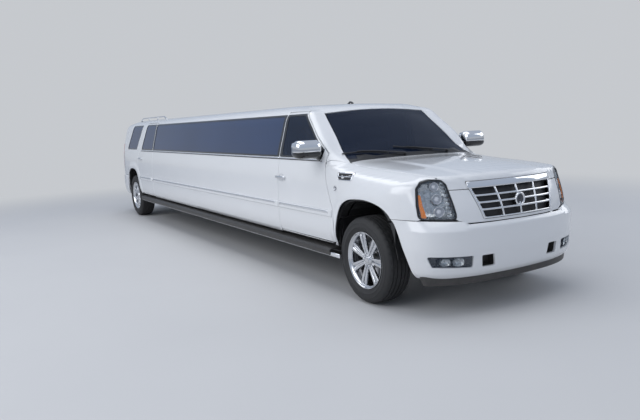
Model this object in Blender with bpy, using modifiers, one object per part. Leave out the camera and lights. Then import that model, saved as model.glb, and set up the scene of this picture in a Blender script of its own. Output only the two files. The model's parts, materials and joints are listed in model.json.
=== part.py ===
# Stretch limousine built on a full-size luxury SUV.
# Metres, +Z up, the vehicle faces -Y, its left side is +X.
# A distance named d runs backwards from the front axle; one named r, from the rear axle.
import math
from collections import namedtuple

import bmesh
import bpy
from mathutils import Matrix, Vector

for old in list(bpy.data.objects):
    bpy.data.objects.remove(old, do_unlink=True)

# Overall sizes
WHEELBASE = 8.026
FRONT_OVERHANG = 1.010
REAR_OVERHANG = 1.187
FRONT_AXLE_Y = -(WHEELBASE + FRONT_OVERHANG + REAR_OVERHANG) / 2 + FRONT_OVERHANG
SEAT_GAP = 0.0003
SHUT_GAP = 0.0055

# Body walls and levels
SILL_Z = 0.470
FLOOR_Z = 0.640
FLOOR_THICKNESS = 0.040
SIDE_WALL = 0.100
SKIN_WALL = 0.040
SILL_INNER_X = 0.800
DOOR_INNER_X = 0.893
SIDE_SPLIT_Z = 0.800
DOOR_FRONT_D = 0.478
HINGE_POST = 0.053
FIREWALL_D = DOOR_FRONT_D - HINGE_POST
FIREWALL_THICKNESS = 0.030
GLASS_INSET = 0.010
GLASS_THICKNESS = 0.006
GLASS_GAP = 0.0005
PANEL_GAP = 0.003
HINGE_INSET = 0.006
COWL_EDGE_X = 0.740
COWL_BACK_D = 0.640
FLOOR_EDGE_X = SILL_INNER_X - 0.0015
ROOF_EDGE_X = 0.665
TAIL_MEMBER_R = 0.950
POST_EDGE = 0.009
WELD = 0.00002
END_WALL = 0.085
NOSE_WALL = 0.060
BUMPER_SHELF = 0.055
FENDER_SPLIT_X = 0.880
FENDER_INNER_X = 0.957
BONNET_SEAM_Z = 1.075
BONNET_HINGE_D = 0.440
BONNET_HINGE_Z = 1.301
GATE_HINGE_R = 0.840
GATE_HINGE_Z = 1.859
GATE_FLANGE = 0.022
GATE_SKIN = 0.012
DOOR_HINGE_X = 1.002
HEADLAMP_BACK_D = -0.530
FOG_DEPTH = 0.045
GRILLE_INSET = -0.004
GRILLE_DEPTH = 0.040
GRILLE_ROWS = 4
GRILLE_COLUMNS = 4
GRILLE_BAR = 0.012
GRILLE_FRAME = 0.014
GRILLE_HEADER = 0.034
GRILLE_LOW = (0.405, 0.828)
GRILLE_HIGH = (0.500, 1.136)

# Doors and windows
DOOR_BOTTOM_Z = 0.500
DOOR_TOP_Z = 1.800
WINDOW_BOTTOM_Z = 1.330
WINDOW_TOP_Z = 1.762
WINDOW_CORNER = 0.045

# Wheel arches
FRONT_ARCH_HALF = 0.465
REAR_ARCH_HALF = 0.430
ARCH_TOP_Z = 0.950
ARCH_CENTRE_Z = 0.400
ARCH_INNER_X = 0.500
REAR_ARCH_INNER_X = 0.620
LINER_THICKNESS = 0.015

# Wheels
AXLE_Z = 0.405
FRONT_WHEEL_X = 0.866
REAR_WHEEL_X = 0.851
TYRE_RADIUS = 0.405
TYRE_WIDTH = 0.275
RIM_RADIUS = 0.254
RIM_LIP = 0.266
RIM_WALL = 0.018
RIM_HALF_WIDTH = 0.118
SPOKE_COUNT = 7
SPOKE_WIDTH = 0.074
SPOKE_DEPTH = 0.034
HUB_RADIUS = 0.062
SPINDLE_RADIUS = 0.034
SPINDLE_GAP = 0.0003
SPINDLE_STEPS = 20
DISC_RADIUS = 0.165
DISC_THICKNESS = 0.028
WHEEL_STEPS = 26
KINGPIN_X = 0.775
UPRIGHT_HALF = 0.028

# Chassis
RAIL_OUTER_X = 0.480
RAIL_WIDTH = 0.070
RAIL_TOP_Z = 0.5975
RAIL_HEIGHT = 0.125
RAIL_FRONT = 0.860
RAIL_REAR = 1.040
MIDDLE_MEMBERS = 9
ENGINE_MEMBER_D = 0.150
MEMBER_TOP_Z = 0.570
LOWER_JOINT_Z = 0.290
UPPER_JOINT_Z = 0.562
ARM_THICKNESS = 0.028
UPPER_ARM_HALF = 0.110
GEARBOX_END = 1.010
GEARBOX_HALF = 0.130
GEARBOX_LOW_Z = 0.400
EXHAUST_RADIUS = 0.030
EXHAUST_TURN = 22
HUB_FACE = 0.085
DISC_LOW = -0.030
HUB_END_FRONT = FRONT_WHEEL_X + 0.045
HUB_END_REAR = REAR_WHEEL_X + 0.045
AXLE_END_X = 0.780
CROSS_WIDTH = 0.080
CROSS_HEIGHT = 0.070
JACK_D = 1.530
JACK_R = -0.961
JACK_PAD = (0.060, 0.100, 0.010)

# Steering wheel
STEERING_RADIUS = 0.185
STEERING_TILT = 68
STEERING_COLUMN = 0.200

# Cabin fittings
PARTITION_D = 2.020
PARTITION_THICKNESS = 0.040
LOUNGE_X = 0.850
LOUNGE_D = 2.400
LOUNGE_R = -0.520
LOUNGE_SEAT_Z = 1.030
LOUNGE_BACK_Z = 1.300
LOUNGE_SEAT_DEPTH = 0.600
LOUNGE_SIDE_DEPTH = 0.550
LOUNGE_BACK_DEPTH = 0.155

COLLECTION = bpy.data.collections.new("stretch_limousine")
bpy.context.scene.collection.children.link(COLLECTION)
CUTTERS = bpy.data.collections.new("cutters")
bpy.context.scene.collection.children.link(CUTTERS)
CUTTERS.hide_render = True

MATERIALS = {}
# name: colour, metallic, roughness
PAINTS = {
    "white_paint": ((0.86, 0.87, 0.88), 0.0, 0.18),
    "chrome": ((0.85, 0.86, 0.88), 1.0, 0.10),
    "dark_glass": ((0.03, 0.05, 0.10), 0.0, 0.05),
    "lamp_lens": ((0.80, 0.82, 0.85), 0.1, 0.12),
    "red_lens": ((0.45, 0.02, 0.02), 0.0, 0.15),
    "black_plastic": ((0.03, 0.03, 0.035), 0.0, 0.45),
    "black_rubber": ((0.02, 0.02, 0.02), 0.0, 0.80),
    "chassis_steel": ((0.06, 0.06, 0.065), 0.6, 0.55),
    "grey_metal": ((0.35, 0.35, 0.36), 0.8, 0.45),
    "black_leather": ((0.05, 0.045, 0.045), 0.0, 0.50),
}


def material(name):
    if name not in MATERIALS:
        colour, metallic, roughness = PAINTS[name]
        made = bpy.data.materials.new(name)
        made.use_nodes = True
        shader = made.node_tree.nodes["Principled BSDF"]
        shader.inputs["Base Color"].default_value = (*colour, 1.0)
        shader.inputs["Metallic"].default_value = metallic
        shader.inputs["Roughness"].default_value = roughness
        MATERIALS[name] = made
    return MATERIALS[name]


def front(d):
    return FRONT_AXLE_Y + d


def rear(r):
    return FRONT_AXLE_Y + WHEELBASE + r


def placed_plan(outline):
    return [(x, front(d)) for x, d in outline]


def add_object(name, mesh, collection=CUTTERS):
    obj = bpy.data.objects.new(name, mesh)
    collection.objects.link(obj)
    obj.display_type = "WIRE" if collection is CUTTERS else "TEXTURED"
    obj.hide_render = collection is CUTTERS
    return obj


def solid(name, verts, faces):
    mesh = bpy.data.meshes.new(name)
    mesh.from_pydata([tuple(v) for v in verts], [], faces)
    work = bmesh.new()
    work.from_mesh(mesh)
    bmesh.ops.remove_doubles(work, verts=work.verts, dist=1e-6)
    bmesh.ops.recalc_face_normals(work, faces=work.faces)
    work.to_mesh(mesh)
    work.free()
    return add_object(name, mesh)


def loft(name, rings, triangles=False):
    # triangles: twisted quads are split the same way at every inset, mirrored about x = 0
    size = len(rings[0])
    verts = [point for ring in rings for point in ring]
    faces = [list(range(size)), list(range((len(rings) - 1) * size, len(rings) * size))]
    for row in range(len(rings) - 1):
        for col in range(size):
            nxt = (col + 1) % size
            quad = [row * size + col, row * size + nxt, (row + 1) * size + nxt, (row + 1) * size + col]
            if not triangles:
                faces.append(quad)
            elif verts[quad[0]][0] + verts[quad[1]][0] > 0:
                faces += [[quad[0], quad[1], quad[2]], [quad[0], quad[2], quad[3]]]
            else:
                faces += [[quad[0], quad[1], quad[3]], [quad[1], quad[2], quad[3]]]
    return solid(name, verts, faces)


def prism(name, outline, axis, low, high):
    # outline in the two axes left over, in the order x, y, z
    rings = []
    for level in (low, high):
        ring = []
        for first, second in outline:
            point = [first, second]
            point.insert(axis, level)
            ring.append(tuple(point))
        rings.append(ring)
    return loft(name, rings)


def box(name, low, high):
    outline = [(low[0], low[1]), (high[0], low[1]), (high[0], high[1]), (low[0], high[1])]
    return prism(name, outline, 2, low[2], high[2])


def cylinder(name, centre, radius, length, axis, segments=24):
    work = bmesh.new()
    bmesh.ops.create_cone(work, cap_ends=True, segments=segments, radius1=radius, radius2=radius, depth=length)
    turn = {0: Matrix.Rotation(math.pi / 2, 4, "Y"), 1: Matrix.Rotation(math.pi / 2, 4, "X"), 2: Matrix()}[axis]
    bmesh.ops.transform(work, matrix=Matrix.Translation(centre) @ turn, verts=work.verts)
    mesh = bpy.data.meshes.new(name)
    work.to_mesh(mesh)
    work.free()
    return add_object(name, mesh)


def baked(obj):
    graph = bpy.context.evaluated_depsgraph_get()
    mesh = bpy.data.meshes.new_from_object(obj.evaluated_get(graph))
    mesh.transform(obj.matrix_world)
    return mesh


def boolean(target, cutter, operation, name=None):
    result = add_object(name or target.name, target.data.copy())
    step = result.modifiers.new("cut", "BOOLEAN")
    step.operation = operation
    step.solver = "EXACT"
    step.object = cutter
    mesh = baked(result)
    result.modifiers.clear()
    result.data = mesh
    return result


def cut(target, cutter):
    result = boolean(target, cutter, "DIFFERENCE")
    bpy.data.objects.remove(target, do_unlink=True)
    return result


def join(target, other):
    result = boolean(target, other, "UNION")
    bpy.data.objects.remove(target, do_unlink=True)
    return result


def common(target, cutter, name):
    return boolean(target, cutter, "INTERSECT", name)


def mirrored(obj, name):
    mesh = obj.data.copy()
    work = bmesh.new()
    work.from_mesh(mesh)
    bmesh.ops.transform(work, matrix=Matrix.Scale(-1, 4, Vector((1, 0, 0))), verts=work.verts)
    bmesh.ops.recalc_face_normals(work, faces=work.faces)
    work.to_mesh(mesh)
    work.free()
    return add_object(name, mesh)


def bevelled(obj, width, segments=2, angle=40):
    step = obj.modifiers.new("edge", "BEVEL")
    step.width = width
    step.segments = segments
    step.limit_method = "ANGLE"
    step.angle_limit = math.radians(angle)
    mesh = baked(obj)
    obj.modifiers.clear()
    obj.data = mesh
    return obj


def open_edges(work):
    return [edge for edge in work.edges if len(edge.link_faces) != 2]


def cleaned(obj):
    # welds, merges flat faces and triangulates, as far as that leaves the solid closed
    for weld, flatten in ((WELD, True), (WELD / 10, True), (WELD, False), (WELD / 10, False), (0.0, False)):
        work = bmesh.new()
        work.from_mesh(obj.data)
        bmesh.ops.remove_doubles(work, verts=work.verts, dist=weld)
        if flatten:
            bmesh.ops.dissolve_limit(work, angle_limit=math.radians(0.2), verts=work.verts, edges=work.edges)
        bmesh.ops.triangulate(work, faces=work.faces)
        bmesh.ops.recalc_face_normals(work, faces=work.faces)
        if not open_edges(work):
            work.to_mesh(obj.data)
            work.free()
            break
        work.free()
    return obj


def publish(obj, name, paint, pivot=None, parent=None):
    cleaned(obj)
    CUTTERS.objects.unlink(obj)
    COLLECTION.objects.link(obj)
    obj.display_type = "TEXTURED"
    obj.hide_render = False
    obj.name = name
    obj.data.name = name
    obj.data.materials.clear()
    obj.data.materials.append(material(paint))
    if pivot is not None:
        obj.data.transform(Matrix.Translation(-Vector(pivot)))
        obj.location = pivot
    if parent is not None:
        obj.parent = parent
        obj.location = Vector(obj.location) - parent.location
    return obj


def rounded(outline, radius, steps=3):
    result = []
    count = len(outline)
    for index in range(count):
        before = Vector(outline[index - 1])
        corner = Vector(outline[index])
        after = Vector(outline[(index + 1) % count])
        to_before = (before - corner).normalized()
        to_after = (after - corner).normalized()
        angle = to_before.angle(to_after)
        if angle > math.radians(165):
            result.append(tuple(corner))
            continue
        reach = min(radius / math.tan(angle / 2), 0.45 * (before - corner).length, 0.45 * (after - corner).length)
        start = corner + to_before * reach
        finish = corner + to_after * reach
        for step in range(steps + 1):
            part = step / steps
            first = start.lerp(corner, part)
            second = corner.lerp(finish, part)
            result.append(tuple(first.lerp(second, part)))
    return result


def grown(outline, amount):
    # moves each side of a closed outline outward by the amount
    count = len(outline)
    after_each = outline[1:] + outline[:1]
    area = sum(one[0] * two[1] - two[0] * one[1] for one, two in zip(outline, after_each))
    sign = 1.0 if area > 0 else -1.0
    result = []
    for index in range(count):
        before = Vector(outline[index - 1])
        corner = Vector(outline[index])
        after = Vector(outline[(index + 1) % count])
        first = (corner - before).normalized()
        second = (after - corner).normalized()
        normal_one = Vector((first.y, -first.x)) * sign
        normal_two = Vector((second.y, -second.x)) * sign
        middle = (normal_one + normal_two).normalized()
        reach = amount / max(0.3, middle.dot(normal_one))
        result.append(tuple(corner + middle * reach))
    return result


# Body sections, front to rear
Section = namedtuple("Section", "y sill_x waist_x belt_x belt_z head_x head_z edge_x edge_z crown_z")
SECTIONS = [
    Section(front(-1.10), 0.945, 0.985, 0.935, 1.050, 0.740, 1.125, 0.620, 1.135, 1.142),
    Section(front(-0.80), 0.960, 0.992, 0.942, 1.095, 0.755, 1.170, 0.640, 1.180, 1.190),
    Section(front(-0.40), 0.965, 0.998, 0.948, 1.130, 0.775, 1.207, 0.660, 1.220, 1.238),
    Section(front(0.10), 0.965, 1.000, 0.955, 1.165, 0.790, 1.235, 0.680, 1.255, 1.275),
    Section(front(0.44), 0.965, 1.000, 0.960, 1.215, 0.800, 1.275, 0.705, 1.288, 1.300),
    Section(front(0.62), 0.965, 1.000, 0.962, 1.260, 0.890, 1.338, 0.785, 1.360, 1.440),
    Section(front(0.80), 0.965, 1.000, 0.962, 1.290, 0.905, 1.497, 0.740, 1.515, 1.590),
    Section(front(1.00), 0.965, 1.000, 0.962, 1.300, 0.866, 1.652, 0.693, 1.675, 1.745),
    Section(front(1.18), 0.965, 1.000, 0.962, 1.300, 0.824, 1.778, 0.668, 1.805, 1.845),
    Section(front(1.40), 0.965, 1.000, 0.962, 1.300, 0.820, 1.782, 0.668, 1.848, 1.874),
    Section(front(1.90), 0.965, 1.000, 0.962, 1.300, 0.820, 1.785, 0.670, 1.862, 1.887),
    Section(rear(0.30), 0.965, 1.000, 0.962, 1.300, 0.820, 1.785, 0.670, 1.860, 1.885),
    Section(rear(0.84), 0.960, 0.992, 0.952, 1.300, 0.808, 1.765, 0.658, 1.832, 1.858),
    Section(rear(1.25), 0.950, 0.980, 0.940, 1.300, 0.795, 1.740, 0.645, 1.795, 1.820),
]


def half_section(sec, side_wall, top_wall):
    # half outline from the bottom centre up the side to the roof centre, with its wall thickness
    points = [
        (0.0, SILL_Z, 0.0),
        (sec.sill_x, SILL_Z, side_wall),
        (sec.waist_x - 0.006, 0.600, side_wall),
        (sec.waist_x, SIDE_SPLIT_Z, side_wall),
        (sec.waist_x - 0.006, min(1.05, sec.belt_z - 0.06), side_wall),
        (sec.belt_x, sec.belt_z, side_wall * 0.75),
        ((sec.belt_x + sec.head_x) / 2 + 0.012, (sec.belt_z + sec.head_z) / 2, top_wall),
        (sec.head_x, sec.head_z, top_wall),
        (sec.edge_x, sec.edge_z, top_wall),
        (sec.edge_x * 0.55, sec.edge_z + (sec.crown_z - sec.edge_z) * 0.72, top_wall),
        (0.0, sec.crown_z, top_wall),
    ]
    result = []
    for index, (x, z, wall) in enumerate(points):
        if wall == 0.0:
            result.append((x, z))
            continue
        before = points[index - 1]
        after = points[min(index + 1, len(points) - 1)]
        along = Vector((after[0] - before[0], after[1] - before[1]))
        if index == len(points) - 1:
            along = Vector((-1.0, 0.0))
        if index == 1:
            along = Vector((0.0, 1.0))
        along.normalize()
        normal = Vector((along.y, -along.x))
        result.append((x - normal.x * wall, z - normal.y * wall))
    return result


def body_loft(name, side_wall, top_wall):
    rings = []
    for sec in SECTIONS:
        half = half_section(sec, side_wall, top_wall)
        other = [(-x, z) for x, z in reversed(half[1:-1])]
        rings.append([(x, sec.y, z) for x, z in half + other])
    return loft(name, rings, True)


# Nose and tail in plan: half width, distance ahead of the front axle or behind the rear one
NOSE_PLAN = [
    (0.0, 0.985), (0.30, 0.966), (0.50, 0.925), (0.66, 0.868), (0.80, 0.785), (0.90, 0.705), (0.965, 0.590),
    (1.05, 0.33),
]
TAIL_PLAN = [(0.0, 1.120), (0.45, 1.105), (0.72, 1.060), (0.86, 0.995), (0.94, 0.900), (0.985, 0.760), (1.05, 0.40)]
# height, how far the nose or tail leans back there
NOSE_LEAN = [(0.20, 0.0), (0.80, 0.0), (1.15, -0.110), (2.10, -0.300)]
TAIL_LEAN = [(0.20, 0.0), (1.05, 0.0), (1.30, -0.030), (1.92, -0.200), (2.10, -0.260)]


def end_block(name, plan, lean, origin_y, way, inset):
    far = origin_y - way * 2 * WHEELBASE
    rings = []
    for z, back in lean:
        half = [(x, origin_y + way * (reach + back - inset)) for x, reach in plan]
        ring = half + [(plan[-1][0], far), (-plan[-1][0], far)]
        ring += [(-x, y) for x, y in reversed(half[1:])]
        rings.append([(x, y, z) for x, y in ring])
    return loft(name, rings)


def body_solid(name, side_wall, top_wall, end_wall):
    skin = body_loft(name, side_wall, top_wall)
    nose = end_block("nose_block", NOSE_PLAN, NOSE_LEAN, FRONT_AXLE_Y, -1, end_wall)
    tail = end_block("tail_block", TAIL_PLAN, TAIL_LEAN, rear(0), 1, end_wall)
    first = common(skin, nose, name + "_front")
    result = common(first, tail, name)
    for used in (skin, nose, tail, first):
        bpy.data.objects.remove(used, do_unlink=True)
    return result


def arch_outline(centre_y, half, grow=0.0):
    points = []
    for step in range(17):
        angle = math.pi * step / 16
        across = abs(math.cos(angle)) ** 0.72 * math.copysign(1, math.cos(angle))
        up = math.sin(angle) ** 0.72
        rise = up * (ARCH_TOP_Z - ARCH_CENTRE_Z + grow)
        points.append((centre_y + across * (half + grow), ARCH_CENTRE_Z + rise))
    points.append((centre_y - half - grow, 0.20))
    points.append((centre_y + half + grow, 0.20))
    return points


# Outer body and its hollow
FAR = 6.5
ABOVE = 2.0
outer = body_solid("outer", 0.0, 0.0, 0.0)
outer_grown = body_solid("outer_grown", -SEAT_GAP, -SEAT_GAP, -SEAT_GAP)
cabin = body_solid("cabin", SIDE_WALL, SKIN_WALL, END_WALL)
bay = body_solid("bay", SKIN_WALL, SKIN_WALL, NOSE_WALL)
glass_back = GLASS_INSET + GLASS_THICKNESS
glass_skin = cut(
    body_solid("glass_skin", GLASS_INSET, GLASS_INSET, GLASS_INSET),
    body_solid("glass_core", glass_back, glass_back, glass_back),
)
cabin = common(cabin, box("cabin_room", (-2, front(FIREWALL_D + FIREWALL_THICKNESS), FLOOR_Z), (2, FAR, 3)), "cabin")
bay = common(bay, box("bay_room", (-2, -FAR, 0), (2, front(FIREWALL_D), 3)), "bay")
ARCHES = (
    # centre, half length, inner end, hollow that the housing stands in
    (front(0), FRONT_ARCH_HALF, ARCH_INNER_X, "bay"),
    (rear(0), REAR_ARCH_HALF, REAR_ARCH_INNER_X, "cabin"),
)
for centre, half, inner_x, hollow in ARCHES:
    left = prism("housing", arch_outline(centre, half, LINER_THICKNESS), 0, inner_x - LINER_THICKNESS, 1.2)
    right = mirrored(left, "housing_other")
    if hollow == "bay":
        bay = cut(cut(bay, left), right)
    else:
        cabin = cut(cut(cabin, left), right)

shell = cut(cut(outer, cabin), bay)
under_room = box(
    "under", (-SILL_INNER_X, front(FIREWALL_D - 0.002), 0.2), (SILL_INNER_X, FAR, FLOOR_Z - FLOOR_THICKNESS)
)
shell = cut(shell, under_room)
nose_room = box("nose_room", (-2, -FAR, 0.2), (2, front(-FRONT_ARCH_HALF - LINER_THICKNESS), SIDE_SPLIT_Z))
shell = cut(shell, nose_room)
tail_room = box("tail_room", (-2, rear(REAR_ARCH_HALF + LINER_THICKNESS), 0.2), (2, FAR, SIDE_SPLIT_Z))
inner_tail = body_solid("inner_tail", BUMPER_SHELF, BUMPER_SHELF, BUMPER_SHELF)
shell = cut(shell, cut(tail_room, inner_tail))
low_tail = box(
    "low_tail", (-2, rear(REAR_ARCH_HALF + LINER_THICKNESS) + 0.001, 0.21),
    (2, FAR, FLOOR_Z - FLOOR_THICKNESS + 0.001),
)
shell = cut(shell, low_tail)
for centre, half, inner_x, hollow in ARCHES:
    left = prism("arch", arch_outline(centre, half), 0, inner_x, 1.2)
    shell = cut(cut(shell, left), mirrored(left, "arch_other"))
arm_room = (ARCH_INNER_X + 0.020, front(UPPER_ARM_HALF + 0.020), UPPER_JOINT_Z + ARM_THICKNESS + 0.020)
shell = cut(shell, box("arm_room", (-arm_room[0], front(-UPPER_ARM_HALF - 0.020), 0.2), arm_room))


def split(piece_cutter, room_cutter, name):
    # takes a panel out of the shell and leaves its opening
    global shell
    panel = common(shell, piece_cutter, name)
    shell = cut(shell, room_cutter)
    return panel


# Headlamps, tail lamps and grille opening, seen from the front or the back
HEADLAMP = rounded(
    [(0.636, 0.828), (0.905, 0.843), (0.935, 0.930), (0.930, 1.090), (0.850, 1.215), (0.672, 1.145)], 0.020
)
GRILLE = rounded(
    [(-GRILLE_LOW[0], GRILLE_LOW[1]), GRILLE_LOW, GRILLE_HIGH, (-GRILLE_HIGH[0], GRILLE_HIGH[1])], 0.012
)
TAIL_LAMP = rounded([(0.800, 0.930), (1.100, 0.930), (1.100, 1.430), (0.862, 1.430), (0.800, 1.300)], 0.015)
lamps = {}
for side, sign in (("left", 1), ("right", -1)):
    for kind, outline, start, end in (
        ("headlamp", HEADLAMP, -FAR, front(HEADLAMP_BACK_D)),
        ("tail_lamp", TAIL_LAMP, rear(0.78), FAR),
    ):
        shape = [(x * sign, z) for x, z in outline]
        room = prism("lamp_room", shape, 1, start, end)
        lamp = prism("lamp_shape", grown(shape, -SEAT_GAP), 1, start + SEAT_GAP, end - SEAT_GAP)
        lamps[f"{kind}_{side}"] = split(lamp, room, f"{kind}_{side}")

grille_block = body_solid("grille_block", GRILLE_INSET, GRILLE_INSET, GRILLE_INSET)
grille_back = GRILLE_INSET + GRILLE_DEPTH
grille_core = body_solid("grille_core", grille_back, grille_back, grille_back)
grille_shape = prism("grille_shape", grown(GRILLE, -SEAT_GAP), 1, -FAR, front(-0.5))
grille = common(cut(grille_block, grille_core), grille_shape, "grille")
shell = cut(shell, prism("grille_room", GRILLE, 1, -FAR, front(-0.5)))
low, high = GRILLE_LOW[1] + GRILLE_FRAME, GRILLE_HIGH[1] - GRILLE_HEADER
cell_height = (high - low - (GRILLE_ROWS - 1) * GRILLE_BAR) / GRILLE_ROWS
for row in range(GRILLE_ROWS):
    bottom = low + row * (cell_height + GRILLE_BAR)
    for column in range(GRILLE_COLUMNS):
        corners = []
        for share, z in ((0, bottom), (1, bottom), (1, bottom + cell_height), (0, bottom + cell_height)):
            rise = (z - GRILLE_LOW[1]) / (GRILLE_HIGH[1] - GRILLE_LOW[1])
            half = GRILLE_LOW[0] + (GRILLE_HIGH[0] - GRILLE_LOW[0]) * rise - GRILLE_FRAME
            width = (2 * half - (GRILLE_COLUMNS - 1) * GRILLE_BAR) / GRILLE_COLUMNS
            corners.append((-half + column * (width + GRILLE_BAR) + share * width, z))
        cell = prism("cell", corners, 1, -FAR, front(-0.5))
        grille = cut(grille, cell)
badge = cylinder("badge", (0, front(-0.955), 0.950), 0.055, 0.060, 1, 20)
grille = join(grille, badge)

# Bonnet, plan outline of the left half from the front edge to the hinge line
BONNET_EDGE = [
    (0.655, -1.20), (0.665, -0.80), (0.735, -0.66), (0.775, -0.40), (0.790, 0.10), (0.800, BONNET_HINGE_D),
]
plan = [(x, front(d)) for x, d in BONNET_EDGE]
plan += [(-x, y) for x, y in reversed(plan)]
bonnet = split(
    prism("bonnet_shape", grown(plan, -SHUT_GAP / 2), 2, BONNET_SEAM_Z + SHUT_GAP / 2, ABOVE),
    prism("bonnet_room", grown(plan, SHUT_GAP / 2), 2, BONNET_SEAM_Z - SHUT_GAP / 2, ABOVE),
    "bonnet",
)
for sign in (1, -1):
    shape = [(x * sign, z) for x, z in HEADLAMP]
    bonnet = cut(bonnet, prism("lamp_clear", grown(shape, SHUT_GAP), 1, -FAR, front(HEADLAMP_BACK_D) + SHUT_GAP))
bonnet = cut(bonnet, prism("grille_clear", grown(GRILLE, SHUT_GAP), 1, -FAR, front(-0.5)))

# Front posts between the lamps and the grille go with the bumper
posts = split(
    box("posts", (-0.70, -FAR, SIDE_SPLIT_Z), (0.70, front(-0.70), BONNET_SEAM_Z - SHUT_GAP / 2)),
    box("posts_room", (-0.70 - PANEL_GAP, -FAR, 0.5), (0.70 + PANEL_GAP, front(-0.70) + PANEL_GAP, BONNET_SEAM_Z)),
    "posts",
)


def sweep(name, path, profile):
    # path in plan as (x, y, outward x, outward y), profile as (outward, z)
    rings = []
    for x, y, out_x, out_y in path:
        rings.append([(x + out_x * out, y + out_y * out, z) for out, z in profile])
    return loft(name, rings)


def plan_path(half, origin_y, way):
    points = [Vector((x, origin_y + way * reach)) for x, reach in half]
    points = [Vector((-p.x, p.y)) for p in reversed(points[1:])] + points
    path = []
    for index, point in enumerate(points):
        before = points[max(index - 1, 0)]
        after = points[min(index + 1, len(points) - 1)]
        along = (after - before).normalized()
        out = Vector((along.y, -along.x)) * -way
        if index in (0, len(points) - 1):
            out = Vector((math.copysign(1, point.x), 0))
        path.append((point.x, point.y, out.x, out.y))
    return path


FRONT_BUMPER_PLAN = [
    (0.0, FRONT_OVERHANG), (0.25, 1.002), (0.50, 0.972), (0.72, 0.905), (0.87, 0.805), (0.945, 0.690),
    (0.985, FRONT_ARCH_HALF + LINER_THICKNESS + PANEL_GAP),
]
FRONT_BUMPER_PROFILE = [
    (-0.040, SIDE_SPLIT_Z - PANEL_GAP), (-0.010, 0.780), (0.000, 0.740), (0.000, 0.620), (-0.012, 0.500),
    (-0.030, 0.410), (-0.075, 0.358), (-0.115, 0.358), (-0.100, 0.450), (-0.085, 0.560),
    (-0.085, SIDE_SPLIT_Z - PANEL_GAP),
]
front_bumper = sweep("front_bumper", plan_path(FRONT_BUMPER_PLAN, FRONT_AXLE_Y, -1), FRONT_BUMPER_PROFILE)
shelf = prism(
    "shelf",
    [(-0.655, front(-0.815)), (-0.655, front(-0.940)), (0.655, front(-0.940)), (0.655, front(-0.815))],
    2, SIDE_SPLIT_Z - 0.030, SIDE_SPLIT_Z + 0.012,
)
front_bumper = join(join(front_bumper, shelf), posts)
for sign in (1, -1):
    fog = rounded([(0.540 * sign, 0.432), (0.875 * sign, 0.448), (0.905 * sign, 0.545), (0.535 * sign, 0.535)], 0.012)
    floor_profile = [(-FOG_DEPTH, 0.3), (-FOG_DEPTH, 0.9), (-0.4, 0.9), (-0.4, 0.3)]
    fog_floor = sweep("fog_floor", plan_path(FRONT_BUMPER_PLAN, FRONT_AXLE_Y, -1), floor_profile)
    front_bumper = cut(front_bumper, cut(prism("fog", fog, 1, -FAR, front(-0.5)), fog_floor))
    duct = [(0.310, 0.425), (0.455, 0.425), (0.465, 0.530), (0.330, 0.530)]
    duct = rounded([(x * sign, z) for x, z in duct], 0.012)
    front_bumper = cut(front_bumper, prism("duct", duct, 1, -FAR, front(-0.5)))
for sign in (1, -1):
    mount = box(
        "mount",
        (min(sign * RAIL_OUTER_X, sign * (RAIL_OUTER_X - RAIL_WIDTH)), front(-0.915), RAIL_TOP_Z - RAIL_HEIGHT),
        (max(sign * RAIL_OUTER_X, sign * (RAIL_OUTER_X - RAIL_WIDTH)), front(-RAIL_FRONT), RAIL_TOP_Z),
    )
    front_bumper = join(front_bumper, mount)

REAR_BUMPER_PLAN = [
    (0.0, REAR_OVERHANG), (0.40, 1.175), (0.70, 1.135), (0.87, 1.050), (0.955, 0.930), (0.990, 0.760),
    (0.995, REAR_ARCH_HALF + LINER_THICKNESS + PANEL_GAP),
]
REAR_BUMPER_PROFILE = [
    (-0.045, SIDE_SPLIT_Z - PANEL_GAP), (-0.008, 0.785), (0.000, 0.750), (0.000, 0.600), (-0.020, 0.470),
    (-0.055, 0.415), (-0.095, 0.415), (-0.070, 0.560), (-0.045, 0.600),
]
rear_bumper = sweep("rear_bumper", plan_path(REAR_BUMPER_PLAN, rear(0), 1), REAR_BUMPER_PROFILE)
tail_box = box("tail_box", (-0.9, rear(0.95), FLOOR_Z - 0.03), (0.9, rear(1.125), SIDE_SPLIT_Z - PANEL_GAP))
shelf_seat = BUMPER_SHELF - SEAT_GAP
inner_tail_grown = body_solid("inner_tail_grown", shelf_seat, shelf_seat, shelf_seat)
rear_bumper = cut(join(rear_bumper, cut(tail_box, inner_tail_grown)), inner_tail_grown)
for sign in (1, -1):
    mount = box(
        "mount",
        (min(sign * RAIL_OUTER_X, sign * (RAIL_OUTER_X - RAIL_WIDTH)), rear(RAIL_REAR), RAIL_TOP_Z - RAIL_HEIGHT),
        (max(sign * RAIL_OUTER_X, sign * (RAIL_OUTER_X - RAIL_WIDTH)), rear(1.130), RAIL_TOP_Z - 0.030),
    )
    rear_bumper = join(rear_bumper, mount)

# Doors: outlines in the side view, by distance from the named axle
DOOR_FRONT = [
    (DOOR_FRONT_D, DOOR_BOTTOM_Z), (DOOR_FRONT_D, 0.720), (0.505, 0.850), (0.565, 0.980), (0.625, 1.120),
    (0.655, 1.250), (0.668, 1.365), (0.800, 1.486), (1.000, 1.638), (1.165, 1.768), (1.215, DOOR_TOP_Z),
    (1.632, DOOR_TOP_Z), (1.655, 1.300), (1.665, DOOR_BOTTOM_Z),
]
DOOR_REAR = [
    (-1.335, DOOR_BOTTOM_Z), (-1.335, DOOR_TOP_Z), (-0.680, DOOR_TOP_Z), (-0.545, 1.340), (-0.380, 1.255),
    (-0.355, 1.110), (-0.370, 1.000), (-0.440, 0.900), (-0.475, 0.800), (-0.475, DOOR_BOTTOM_Z),
]
WINDOW_FRONT = [
    (0.745, WINDOW_BOTTOM_Z), (1.603, WINDOW_BOTTOM_Z), (1.590, WINDOW_TOP_Z), (1.215, WINDOW_TOP_Z),
    (0.735, 1.395),
]
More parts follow.
